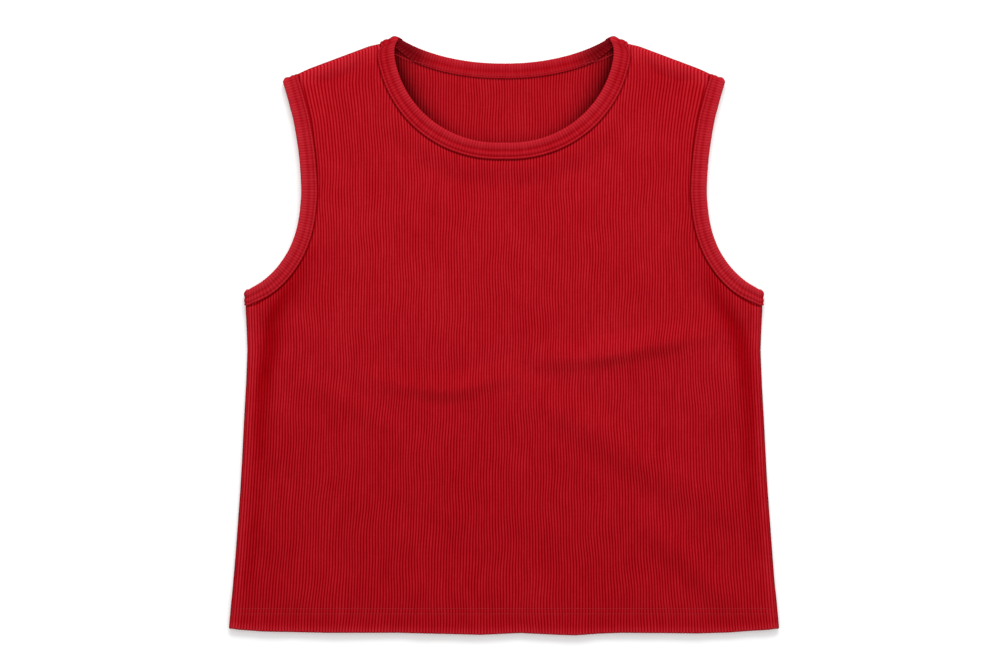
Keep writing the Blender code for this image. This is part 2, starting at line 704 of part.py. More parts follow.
def build_ring(name, front, rest, colour):
    """A closed band: its front strip, which carries raised ribs, and the rest of its way round."""
    mesh = bmesh.new()
    stations = front + rest
    loops = [[mesh.verts.new(position) for position in station.positions()] for station in stations]
    for index, (here, after) in enumerate(zip(loops, loops[1:] + loops[:1])):
        for k in range(len(here)):
            after_k = (k + 1) % len(here)
            if k == TOP_FACE and index < len(front) - 1:
                continue
            mesh.faces.new((here[k], here[after_k], after[after_k], after[k]))
    strip = loops[:len(front)]
    ribbed_strip(mesh, front, [loop[TOP_FACE] for loop in strip], [loop[TOP_FACE + 1] for loop in strip])
    add_object(name, mesh, colour)


def thinned(points, count):
    """Evenly spaced points along a plan curve."""
    points = np.array(points)
    steps = np.hypot(*np.diff(points, axis=0).T)
    travelled = np.concatenate([[0.0], np.cumsum(steps)])
    wanted = np.linspace(0.0, travelled[-1], count)
    return np.stack([np.interp(wanted, travelled, points[:, k]) for k in (0, 1)], axis=1)


def build_armhole_binding(name, side):
    """Rib band round one armhole: front strip, over the underarm, back strip, over the shoulder."""
    points = thinned(ARMHOLE_CURVE, 20) * np.array((side, 1.0))
    shoulder_end = (-side * SHOULDER_COS, SHOULDER_SLOPE * SHOULDER_COS)
    ends = (shoulder_end, (0.0, -1.0))
    opening = (side * ARMHOLE_CENTRE[0], ARMHOLE_CENTRE[1])
    widths = (ARMHOLE_WIDTH, ARMHOLE_WIDTH)
    front = strip_stations(points, opening, ends, widths, 0.0, 24.0)
    back = strip_stations(points, opening, ends, widths, math.pi, 24.0)[::-1]
    under = turn_over(front[-1], (side, 0.0), False)
    over = turn_over(back[-1], (side * SHOULDER_NORMAL[0], SHOULDER_NORMAL[1]), True)
    build_ring(name, front, under + back + over, BINDING_RED)


def mirrored(points):
    """A right-hand line continued through the middle to the left."""
    return np.vstack([(points * np.array((-1.0, 1.0)))[:0:-1], points])


def build_neck_binding():
    """Rib band round the neck: front strip from left to right, then the back strip."""
    ends = ((-SHOULDER_COS, -SHOULDER_SLOPE * SHOULDER_COS), (SHOULDER_COS, -SHOULDER_SLOPE * SHOULDER_COS))
    front = strip_stations(thinned(mirrored(front_band_line()), 37), NECK_CENTRE, ends,
                           (NECK_FRONT_WIDTH, NECK_END_WIDTH), 0.0, 26.0)
    back = strip_stations(thinned(mirrored(back_band_line()), 19), NECK_CENTRE, ends,
                          (NECK_BACK_WIDTH, NECK_END_WIDTH), math.pi, 26.0)[::-1]
    right = turn_over(front[-1], SHOULDER_NORMAL, False)
    left = turn_over(back[-1], (-SHOULDER_NORMAL[0], SHOULDER_NORMAL[1]), True)
    build_ring("neck_binding", front, right + back + left, BINDING_RED)


def build_tank_top():
    for old in list(bpy.data.objects):
        bpy.data.objects.remove(old)
    build_panel("front_panel", True, CLOTH_RED)
    build_panel("back_panel", False, CLOTH_RED)
    build_neck_binding()
    build_armhole_binding("armhole_binding_left", -1)
    build_armhole_binding("armhole_binding_right", 1)


build_tank_top()
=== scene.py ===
"""Looks of a cropped rib-knit tank top laid flat on a white surface, seen from straight above.

The wearer's neck points to +Y and the front faces up. Sizes are millimetres until a mesh is made.
"""
import functools
import json
import math

import bmesh
import bpy
import numpy as np
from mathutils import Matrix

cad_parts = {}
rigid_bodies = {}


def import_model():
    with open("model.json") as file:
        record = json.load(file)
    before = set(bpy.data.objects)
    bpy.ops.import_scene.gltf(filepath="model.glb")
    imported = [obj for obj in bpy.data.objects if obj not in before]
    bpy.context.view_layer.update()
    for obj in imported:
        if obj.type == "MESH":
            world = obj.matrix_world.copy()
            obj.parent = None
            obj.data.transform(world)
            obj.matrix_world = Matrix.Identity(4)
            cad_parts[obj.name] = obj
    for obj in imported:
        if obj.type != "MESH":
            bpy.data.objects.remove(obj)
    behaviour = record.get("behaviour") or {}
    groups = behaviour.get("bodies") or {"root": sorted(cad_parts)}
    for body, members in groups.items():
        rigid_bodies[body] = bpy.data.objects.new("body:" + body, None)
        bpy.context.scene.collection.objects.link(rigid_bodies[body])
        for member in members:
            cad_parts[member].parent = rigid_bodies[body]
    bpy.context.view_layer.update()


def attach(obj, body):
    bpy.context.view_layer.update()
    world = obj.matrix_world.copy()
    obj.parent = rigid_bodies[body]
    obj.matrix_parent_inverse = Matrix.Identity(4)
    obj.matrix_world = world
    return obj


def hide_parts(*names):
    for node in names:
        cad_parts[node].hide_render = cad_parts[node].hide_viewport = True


MM = 0.001
scene = bpy.context.scene
for spare in list(bpy.data.objects):
    bpy.data.objects.remove(spare)
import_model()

# Cloth and seams, as in the solids
WALL = 1.3                  # panel cloth, measured on a rib's crest
BINDING_WALL = 1.0          # one layer of a binding
GAP = 0.3                   # clearance between layers
RIBS = 186                  # ribs from side seam to side seam: columns are counted in half ribs
HEM_TURN = 23.0             # height of the turned-up hem
DOUBLE_WALL = 2.6           # cloth and its turned-up hem together
EDGE_INSET = 2.4            # a panel's raw edge, inside its binding's fold
PANEL_IN = GAP / 2 + BINDING_WALL + GAP
PANEL_OUT = PANEL_IN + WALL
BOUND_MID = PANEL_OUT + GAP + BINDING_WALL    # middle height of the bindings' and shoulders' folds
BASE_HEIGHT = 4.0
HEM_HEIGHT = 5.5

# How the panels settle away from their raised edges
SHELF_MARGIN = 2.2
BOUND_FALL = 24.0
SHOULDER_FLAT = 2.0
SHOULDER_FALL = 13.0
SIDE_FLAT = 6.0
SIDE_FALL = 8.0
HEM_FLAT = 4.0
HEM_FALL = 34.0

# Sewing that sinks into the cloth
SEAM_DIP = 0.7
HEM_DIP = 0.22
HEM_STITCH_Y = (-232.2, -236.6)
HEM_STITCHES = {"Pitch": 2.9, "Reach": 2.5, "Thickness": 0.2, "Height": 0.3}
BAND_STITCHES = {"Pitch": 2.7, "Reach": 2.2, "Thickness": 0.2, "Height": 0.3}

# Tones of the knit, which are added to a middle of 0.5: painted light and shade of the cloth
ARMHOLE_TONE = -0.35        # painted shadow beside the armhole bindings
NECK_TONE = -0.12           # painted shadow beside the neck band
# painted highlight where the cloth turns over the shoulder's fold, on the side rims and at the hem's rolled
# edge
SHOULDER_TONE = 0.24
SIDE_TONE = 0.12
HEM_EDGE_TONE = 0.34
LOW_TONE = -0.07            # painted shade: darker from the middle down to the hem, where the lamp's light falls off
EDGE_DARKNESS = 0.6         # painted shade: how much darker the knit is where it has turned over an edge
STITCH_LENGTH = 1.05        # of the knit's chevrons, along a rib
STITCH_TONE = 0.05          # painted highlight along the hem's stitches

# Rib relief
RIB_DEPTH = 0.42            # groove below crest
SIDE_COLUMNS = 8            # half-rib columns that turn round a side fold
SHOULDER_TURNS = 5          # rows that turn over the shoulder's fold
SIDES = 8                   # sides of a face's outline
ROLL_ROWS = 6               # rows that roll under the hem's edge, 30 degrees apart
LEAN_FLAT = 3.0
LEAN_FADE = 35.0

# Bindings
ARMHOLE_WIDTH = 13.7
NECK_FRONT_WIDTH = 14.4
NECK_BACK_WIDTH = 11.9
NECK_END_WIDTH = 15.5
BINDING_PITCH = 2.3
BINDING_RELIEF = 0.34

NECK_CENTRE_Y = 250.2
NECK_DROP = 85.9
NECK_SPREAD = 8.0
NECK_ROUNDNESS = 1.3
NECK_HALF = NECK_DROP + NECK_SPREAD
BACK_NECK_Y = 230.9
BACK_NECK_POWER = 1.9
BAND_TIP = 4.0              # how far the neck band's edge bends back in where it meets the shoulder
BAND_TIP_POWER = 30
BACK_BAND_POWER = 2.15
BACK_BAND_HALF = 86.0       # the band's back edge ends nearer the middle: its corner is folded over
BACK_BAND_RAISE = 0.8
BACK_BAND_LIFT = 1.5
INNER_WIDTHS = {"front": (12.4, 13.3), "back": (12.9, 11.0), "armhole": (11.2, 11.2)}
SHOULDER_TOP_Y = 284.5
SHOULDER_SLOPE = 0.374
SHOULDER_COS = 1.0 / math.hypot(1.0, SHOULDER_SLOPE)
SHOULDER_NORMAL = (SHOULDER_SLOPE * SHOULDER_COS, SHOULDER_COS)
SHOULDER_CROWN = 1.75       # how far the fold stands above a straight line between band and tip

# Armhole opening edge, shoulder to underarm: x, y
ARMHOLE = (
    (187.7, 214.3), (184.5, 203.7), (181.8, 193.5), (178.5, 179.9), (174.3, 152.7), (172.5, 125.5),
    (173.1, 111.9), (174.8, 98.3), (178.2, 84.7), (184.1, 71.1), (193.6, 57.5), (205, 46.8),
    (217, 39.4),
)
UNDERARM = ARMHOLE[-1]

# Side seam: y, half width of the silhouette, radius of the fold, lift of the back off the surface
SIDE = (
    (40, 219.75, 2.75, 1.3), (22, 219.75, 2.75, 1.3), (4, 218.95, 2.3, 0),
    (-12, 218.35, 2.2, 0), (-38, 219.35, 2.2, 0), (-72, 221.25, 2.2, 0),
    (-123, 223.85, 2.2, 0), (-174, 227.55, 2.2, 0), (-208, 230.15, 2.2, 0),
    (-226, 232.05, 2.75, 0), (-252, 234.45, 2.75, 0),
)

# Bottom edge of the hem: x, y
HEM_EDGE = (
    (-233, -249.2), (-224, -250.4), (-205, -251.8), (-150, -252.9), (-90, -252.9),
    (-20, -254.6), (14, -253.1), (48, -254.7), (62, -255), (80, -253.7), (100, -252.9),
    (165, -253.4), (190, -252.7), (205, -251.6), (224, -250.4), (233, -249.2),
)

# Folds of the front: rise, reach above and below the line, sharpness of its crest, points of the line
FOLDS = {
    "bust_crease": (3.8, 22, 13, 0.25, (28, -21.7), (60, -20), (84, -18), (104, -13.8), (140, -6),
        (173, 0.5)),
    "centre_crease": (2.6, 19, 12, 0.25, (-106, -37), (-80, -43.5), (-50, -47.5), (-22, -42), (8, -33.5)),
    "small_crease": (1.1, 10, 10, 0.1, (-38, -10), (-14, -12.5), (7, -5)),
    "left_crease": (0.8, 15, 11, 0.1, (-165, -36), (-142, -51), (-105, -73), (-88, -77.5)),
    "broad_crease": (2.5, 30, 21, 0, (10, -57), (47.5, -66.5), (71, -79.5), (116.5, -109.5), (173.5, -140.5),
        (212, -161)),
    "hip_ridge": (3.2, 20, 18, 0.1, (102, -148), (135, -172.5), (158, -192), (178, -213), (187, -235)),
    "low_ridge": (0.8, 12, 12, 0, (-42, -157), (0, -156), (38, -167)),
    "left_side_dip": (-1.5, 11, 13, 0, (-168, 62), (-181, 44), (-198, 20), (-204.5, -12), (-204.5, -60),
        (-208, -120), (-214, -190), (-217, -225)),
    "right_side_dip": (-1.5, 13, 11, 0, (172, 62), (182, 38), (193, 14), (203, -12), (207.5, -60),
        (209, -128), (214, -185)),
}

# Painted shade in the dips beside the raised side folds: tone, then as for a fold
TONES = {
    "left_side": (-0.26, 11, 15, 0, (-166, 68), (-181, 44), (-196, 18), (-200.5, -12), (-205, -38),
        (-207.5, -60), (-208, -105)),
    "left_side_low": (-0.08, 8, 10, 0, (-207, -80), (-209, -130), (-214, -180), (-217, -225)),
    "right_side": (-0.24, 15, 12, 0, (171, 66), (181, 36), (192, 14), (199.5, -3), (205, -26), (208, -60),
        (208, -105)),
    "right_side_low": (-0.08, 11, 9, 0, (206, -80), (209, -128), (214, -185)),
}

# Soft creases of the back's inner face, seen through the neck, laid out in the same way
INNER_FOLDS = {
    "left_tuck": (0.5, 12, 12, 0, (-62, 176), (-40, 190), (-30, 214)),
    "right_tuck": (0.4, 11, 13, 0, (52, 172), (34, 188), (26, 210)),
}

# Waves in which ribs wander sideways, and in which the front lies unevenly, where the cloth was
# smoothed down by hand: length across and along, start, size
DRIFT_WAVES = ((210, 92, 1, 0.50), (-96, 43, 2.6, 0.26), (29, 170, 0.7, 0.22), (47, -66, 4, 0.20))
SETTLED_WAVES = ((61, 38, 0.4, 0.16), (-44, 71, 1.9, 0.13), (33, -52, 3.1, 0.09), (97, 120, 5, 0.20),
        (-24, 31, 2.2, 0.06))

# Lines of points across both panels: y at each named x
LINE_X = (-217, -163, -95, -50, 4, 38, 92, 133, 167, 189, 217)
LINES = {
    "above_creases": (-14, -20, -22, -29, -16, -3, 5, 11, 18, 22, 15),
    "crease_tops": (-36, -37, -40, -47.5, -34.5, -20.5, -13, -7, 0.5, 5, 0),
    "below_creases": (-52, -54, -55, -62, -48, -35, -27, -21, -13.5, -9, -14),
    "valley": (-100, -98, -90, -87, -64, -73, -104, -129, -147, -158, -172),
    "hip": (-165, -165, -165, -165, -158, -155, -152, -181, -211, -221, -222),
}
ARMHOLE_COLUMN = 146        # column that touches the armhole at its narrowest
TOP_LINES = ("level", "armhole_shelf", "armhole_fall")
HEM_LINES = {"hem_top": HEM_TURN + HEM_FLAT, "hem_turn": HEM_TURN, "hem_start": WALL}    # above the edge
HEM_ROWS = {"stitch_high": -230.2, "stitch_low": -238.4}
UNDER_ARM_STEPS = (0.3, 0.6, 0.78, 0.84, 0.88, 0.92, 0.96, 1)
UNDER_NECK_STEPS = (0.03, 0.06, 0.09, 0.12, 0.155, 0.2, 0.3, 0.5, 0.75, 1)


def rounded_step(value):
    """0 below 0, 1 above 1 and smooth between."""
    value = np.clip(value, 0.0, 1.0)
    return value * value * (3.0 - 2.0 * value)


def bell(distance, reach):
    """1 on a line, falling away on both sides of it."""
    return np.exp(-(distance / reach) ** 2)


def beside(distance, flat, fall):
    """1 within a flat strip along an edge, falling smoothly to 0."""
    return 1.0 - rounded_step((distance - flat) / fall)


def soft_highest(first, second, softness):
    """The higher of two heights, blended where they meet."""
    share = np.clip(0.5 + 0.5 * (second - first) / softness, 0.0, 1.0)
    return first * (1.0 - share) + second * share + softness * share * (1.0 - share) * 0.5


def curve_through(rows, steps):
    """Points of a smooth curve through a table's rows (Catmull-Rom)."""
    rows = np.array(rows)
    ends = np.vstack([2 * rows[0] - rows[1], rows, 2 * rows[-1] - rows[-2]])
    t = (np.arange(steps) / steps)[:, None]
    parts = [0.5 * (2 * b + (c - a) * t + (2 * a - 5 * b + 4 * c - d) * t * t
                    + (3 * b - a - 3 * c + d) * t ** 3)
             for a, b, c, d in zip(ends, ends[1:], ends[2:], ends[3:])]
    return np.vstack([*parts, rows[-1:]])


def travelled_along(points):
    """Distance from a line's start to each of its points."""
    return np.concatenate([[0.0], np.cumsum(np.hypot(*np.diff(points[:, :2], axis=0).T))])


def evenly(points, count):
    """Evenly spaced points along a plan line."""
    travelled = travelled_along(points)
    wanted = np.linspace(0.0, travelled[-1], count)
    return np.stack([np.interp(wanted, travelled, points[:, k]) for k in range(points.shape[1])], axis=1)


def normals_of(points, opening):
    """Unit normals of a plan curve, on the side away from a point of the opening that it bounds."""
    along = np.gradient(points, axis=0)
    normals = np.stack([-along[:, 1], along[:, 0]], axis=1)
    normals /= np.linalg.norm(normals, axis=1)[:, None]
    normals[np.sum(normals * (points - np.array(opening)), axis=1) < 0] *= -1
    return normals


def nearest(line, x, y):
    """Distance in plan to a line of points, and the index of its nearest point."""
    gaps = np.hypot(line[:, 0, None] - np.ravel(x), line[:, 1, None] - np.ravel(y))
    return gaps.min(axis=0).reshape(np.shape(x)), gaps.argmin(axis=0).reshape(np.shape(x))


ARMHOLE_CURVE = curve_through(ARMHOLE, 8)
ARMHOLE_CENTRE = (230.0, 130.0)
ARMHOLE_NORMALS = normals_of(ARMHOLE_CURVE, ARMHOLE_CENTRE)
NECK_CENTRE = (0.0, NECK_CENTRE_Y)


def armhole_line(offset):
    """The armhole's edge moved into the panel, as its upper and lower branches."""
    points = ARMHOLE_CURVE + offset * ARMHOLE_NORMALS
    narrow = int(np.argmin(points[:, 0]))
    return points[narrow::-1], points[narrow:]


EDGE_UPPER, EDGE_LOWER = armhole_line(EDGE_INSET)
LEVEL_Y = float(EDGE_LOWER[0][1])
NARROW_X = float(EDGE_LOWER[0][0])


def height_on(line, x):
    return np.interp(x, line[:, 0], line[:, 1])


def armhole_edge_x(y):
    return height_on(EDGE_UPPER[:, ::-1], y)


def below_armhole(x, branch):
    """Height of a lower armhole line at x, run straight on past its end."""
    slope = (branch[-1, 1] - branch[-4, 1]) / (branch[-1, 0] - branch[-4, 0])
    return np.where(x <= branch[-1, 0], height_on(branch, x), branch[-1, 1] + slope * (x - branch[-1, 0]))


def shoulder_y(x):
    return SHOULDER_TOP_Y - SHOULDER_SLOPE * np.abs(x)


def crowned_shoulder_y(x):
    """The shoulder's fold between neck band and tip, which is slightly arched."""
    crown = rounded_step((np.abs(x) - 100.0) / 16.0) * rounded_step((187.0 - np.abs(x)) / 26.0)
    return shoulder_y(x) + SHOULDER_CROWN * crown


def round_neck(radius, angle):
    return np.stack([radius * np.sin(angle), NECK_CENTRE_Y - radius * np.cos(angle)], axis=1)


def front_neck_line(offset):
    """Front neckline from the middle to the shoulder, moved into the panel."""
    end = math.acos((NECK_CENTRE_Y - shoulder_y(NECK_HALF)) / NECK_HALF)
    angle = np.linspace(0.0, end, 121)
    return round_neck(NECK_DROP + NECK_SPREAD * np.sin(angle) ** NECK_ROUNDNESS + offset, angle)


NECK_END = front_neck_line(0.0)[-1]


def back_neck_line(offset):
    """Back neckline from the middle to the shoulder, moved into the panel."""
    across = np.linspace(0.0, NECK_END[0], 121)
    rise = NECK_END[1] - BACK_NECK_Y
    points = np.stack([across, BACK_NECK_Y + rise * (across / NECK_END[0]) ** BACK_NECK_POWER], axis=1)
    return points + offset * normals_of(points, NECK_CENTRE)


BAND_HALF = NECK_HALF - BAND_TIP
BAND_END_Y = shoulder_y(BAND_HALF)


def front_band_line():
    """Opening edge of the neck band in front, from the middle to where it turns over the shoulder."""
    end = math.acos((NECK_CENTRE_Y - BAND_END_Y) / BAND_HALF)
    angle = np.linspace(0.0, end, 181)
    tip = BAND_TIP * (angle / end) ** BAND_TIP_POWER
    return round_neck(NECK_DROP + NECK_SPREAD * np.sin(angle) ** NECK_ROUNDNESS - tip, angle)


def back_band_line():
    across = np.linspace(0.0, BACK_BAND_HALF, 121)
    rise = (BAND_END_Y - BACK_NECK_Y) * (across / BAND_HALF) ** BACK_BAND_POWER
    lift = BACK_BAND_RAISE + BACK_BAND_LIFT * (across / BACK_BAND_HALF) ** 8
    return np.stack([across, BACK_NECK_Y + rise + lift], axis=1)


def mirrored(points):
    """A right-hand line continued through the middle to the left."""
    return np.vstack([(points * np.array((-1.0, 1.0)))[:0:-1], points])


def side_at(y):
    """Fold axis, radius and middle height of the side seam."""
    rows = np.array(SIDE)[::-1]
    half, radius, lift = (np.interp(y, rows[:, 0], rows[:, k]) for k in (1, 2, 3))
    return half - radius, radius, radius + lift


def hem_y(x):
    return height_on(np.array(HEM_EDGE), x)


def fold_rise(folds, x, y):
    """Height that soft folds add to a face."""
    total = np.zeros(np.shape(x))
    for rise, above, below, sharp, *rows in folds.values():
        line = curve_through(rows, 24)
        gap, index = nearest(line, x, y)
        along = np.gradient(line, axis=0)
        over = along[index, 0] * (y - line[index, 1]) - along[index, 1] * (x - line[index, 0])
        if rows[-1][0] < rows[0][0]:
            over = -over
        share = gap / np.where(over > 0, above, below)
        shape = (1.0 - rounded_step(share)) * (1.0 - sharp) + sharp * np.clip(1.0 - share, 0.0, 1.0) ** 1.6
        taper = np.sin(math.pi * (0.06 + 0.88 * index / (len(line) - 1))) ** 0.8
        total += rise * taper * shape
    return total


def waves(table, x, y):
    return sum(size * np.sin(2 * math.pi * (x / across + y / along) + start)
               for across, along, start, size in table)


def drift(x, y):
    """How far ribs wander sideways; they also lean over the bust crease."""
    return waves(DRIFT_WAVES, x, y) - 0.30 * fold_rise({"bust_crease": FOLDS["bust_crease"]}, x, y)


def seam_dip(beyond):
    """Depth to which a binding's stitching pulls the cloth down along its edge."""
    return SEAM_DIP * bell(beyond - 0.5, 0.9)


class Panel:
    """Front or back: its outline, its outer face and the side that its inner face lies on."""

    def __init__(self, front):
        self.front = front
        self.up = 1.0 if front else -1.0
        neck_line = front_neck_line if front else back_neck_line
        self.neck = mirrored(neck_line(0.0))
        self.neck_edge = neck_line(EDGE_INSET)
        self.neck_width = NECK_FRONT_WIDTH if front else NECK_BACK_WIDTH
        self.neck_shelf = neck_line(self.neck_width + SHELF_MARGIN)
        self.shelf_lower = armhole_line(ARMHOLE_WIDTH + SHELF_MARGIN)[1]

    def distances(self, x, y):
        """How far a place lies past the armhole's and the neck's bindings, and below the shoulder's fold."""
        return (nearest(ARMHOLE_CURVE, np.abs(x), y)[0] - ARMHOLE_WIDTH,
                nearest(self.neck, x, y)[0] - self.neck_width, (crowned_shoulder_y(x) - y) * SHOULDER_COS)

    def outer(self, x, y):
        """Height of the outer face, at a rib's crest."""
        axis, radius, middle = side_at(y)
        past_armhole, past_neck, below_shoulder = self.distances(x, y)
        near_armhole = beside(past_armhole, SHELF_MARGIN, BOUND_FALL)
        near_neck = beside(past_neck, SHELF_MARGIN, BOUND_FALL)
        near_shoulder = np.where(np.abs(x) > NECK_END[0],
                beside(below_shoulder, SHOULDER_FLAT, SHOULDER_FALL), 0.0)
        near_side = np.where(y < UNDERARM[1] + SHELF_MARGIN,
                beside(axis - np.abs(x), SIDE_FLAT, SIDE_FALL), 0.0)
        lift = np.maximum(np.maximum(near_armhole, near_neck), near_shoulder)
        if not self.front:
            return np.maximum((BOUND_MID - PANEL_OUT) * lift, (middle - radius) * near_side)
        near_hem = beside(y - hem_y(x), HEM_TURN + HEM_FLAT, HEM_FALL)
        height = soft_highest((BOUND_MID + PANEL_OUT - BASE_HEIGHT) * lift,
                (middle + radius - BASE_HEIGHT) * near_side, 0.3)
        height = BASE_HEIGHT + soft_highest(height, (HEM_HEIGHT - BASE_HEIGHT) * near_hem, 0.2)
        folds = fold_rise(FOLDS, x, y)
        folds = np.where(folds < 0.0, folds * (1.0 - near_hem), folds) + waves(SETTLED_WAVES, x, y)
        sunk = seam_dip(past_armhole) + seam_dip(past_neck)
        for line_y in HEM_STITCH_Y:
            sunk = sunk + HEM_DIP * bell(y - line_y, 0.8)
        return height + folds * (1.0 - np.maximum(lift, near_side)) - sunk

    def top_y(self, x):
        """Upper end of a column: the neckline's edge or the shoulder's fold."""
        on_neck = np.minimum(height_on(self.neck_edge, np.abs(x)), shoulder_y(x))
        return np.where(np.abs(x) >= self.neck_edge[-1, 0], crowned_shoulder_y(x), on_neck)

    def tone(self, x, y, outer):
        """Painted tone: highlight over the shoulder, side rims, hem edge and stitches; shade by bindings,
        side dips, to the hem.
        """
        if not self.front and not outer:
            return np.zeros(x.shape)
        past_armhole, past_neck, below_shoulder = self.distances(x, y)
        tone = ARMHOLE_TONE * bell(past_armhole - 0.4, 0.7) + NECK_TONE * bell(past_neck - 0.4, 0.7)
        to_fold = np.clip(1.0 - below_shoulder / SHOULDER_FALL, 0.0, 1.0)
        tone = tone + SHOULDER_TONE * to_fold * (np.abs(x) > 96.0)
        tone = tone + SIDE_TONE * beside(side_at(y)[0] - np.abs(x), 3.0, 5.0) * (y < UNDERARM[1])
        tone = tone + HEM_EDGE_TONE * np.clip(1.0 - (y - hem_y(x)) / 8.0, 0.0, 1.0) ** 1.3
        tone = tone + LOW_TONE * rounded_step((40.0 - y) / 240.0)
        for line_y in HEM_STITCH_Y:
            tone = tone + STITCH_TONE * bell(y - line_y, 1.4)
        return tone + (fold_rise(TONES, x, y) if self.front else 0.0)

    def shade(self, x, y, outer):
        """Share of the light that the layer above takes from the back's inner face."""
        if self.front or outer:
            return np.zeros(x.shape)
        from_band = nearest(mirrored(front_band_line()), x, y)[0]
        corner = rounded_step((np.abs(x) - 30.0) / 55.0)
        return 0.05 + (0.1 + 0.66 * corner) * np.exp(-(from_band / (5.0 + 6.0 * corner)) ** 1.2)

    def painted_shading(self, points, outer):
        """Painted tone and painted shade of the cloth at points of one face."""
        x, y = points[..., 0], points[..., 1]
        return self.tone(x, y, outer), self.shade(x, y, outer)

    def upper_shelf_y(self, x):
        """Line along which the cloth leaves the raised strip beside neck and shoulder."""
        under_shoulder = crowned_shoulder_y(x) - (SHOULDER_FLAT + SHOULDER_FALL) / SHOULDER_COS
        on_shelf = np.minimum(height_on(self.neck_shelf, np.abs(x)), under_shoulder)
        return np.where(np.abs(x) > self.neck_shelf[-1, 0], under_shoulder, on_shelf)

    def armhole_shelf_y(self, x):
        level = LEVEL_Y - 15.0
        beyond = np.minimum(level, below_armhole(np.abs(x), self.shelf_lower))
        return np.where(np.abs(x) <= self.shelf_lower[0, 0], level, beyond)

    def lower_line(self, name, x):
        """Height of a named line of points below the armholes' narrowest level."""
        if name == "level":
            return np.where(np.abs(x) <= NARROW_X, LEVEL_Y, below_armhole(np.abs(x), EDGE_LOWER))
        shelf = self.armhole_shelf_y(x)
        if name == "armhole_shelf":
            return shelf
        if name == "armhole_fall":
            halfway = 0.5 * (shelf + self.lower_line("above_creases", x))
            return np.maximum(shelf - BOUND_FALL, halfway)
        if name in HEM_ROWS:
            return np.full(np.shape(x), HEM_ROWS[name])
        if name in HEM_LINES:
            return hem_y(x) + HEM_LINES[name]
        return np.interp(x, LINE_X, LINES[name])


def shares_of(step):
    """Where rows lie between two named lines: evenly for a number, or as given."""
    return [(k + 1) / step for k in range(step)] if isinstance(step, int) else list(step)


def spaced(named, steps):
    """Rows between named lines of heights."""
    rows = [named[0]]
    for start, end, step in zip(named, named[1:], steps):
        rows += [start + (end - start) * share for share in shares_of(step)]
    return np.array(rows)


def lower_rows(panel, columns, lines, steps):
    """Heights in plan of every row of a face's lower part, from the level line down."""
    share = np.clip(columns / RIBS, -1.0, 1.0)
    named = []
    for name in lines:
        x = share * UNDERARM[0]
        for _ in range(6):
            x = share * side_at(panel.lower_line(name, x))[0]
        y = panel.lower_line(name, x)
        if name == "level":
            y = np.where(np.abs(columns) <= ARMHOLE_COLUMN, LEVEL_Y, y)
        named.append(y)
    return spaced(named, steps)


def upper_rows(panel, columns, steps):
    """Plan positions of every row above the level line, where outer columns lean along the armhole."""
    plain = columns / RIBS * UNDERARM[0]
    inside = np.maximum(0.0, NARROW_X - LEAN_FLAT - np.abs(plain))
    lean = np.copysign(np.exp(-inside / LEAN_FADE), plain)
    named = [np.full(plain.shape, LEVEL_Y)]
    for line in ("shelf", "top"):
        x = plain
        for _ in range(12):
            y = panel.top_y(x)
            if line == "shelf":
                y = np.minimum(panel.upper_shelf_y(x), y - 2.0)
            x = plain + lean * (armhole_edge_x(y) - NARROW_X)
        named.append(y)
    y = spaced(named, steps)
    return plain + lean * (armhole_edge_x(y) - NARROW_X), y


def groove_depth(columns):
    """Depth of a rib's groove at each column: crests at odd columns, grooves at even ones."""
    from_crest = np.abs(np.mod(columns, 2.0) - 1.0)
    return RIB_DEPTH * from_crest ** 2.4


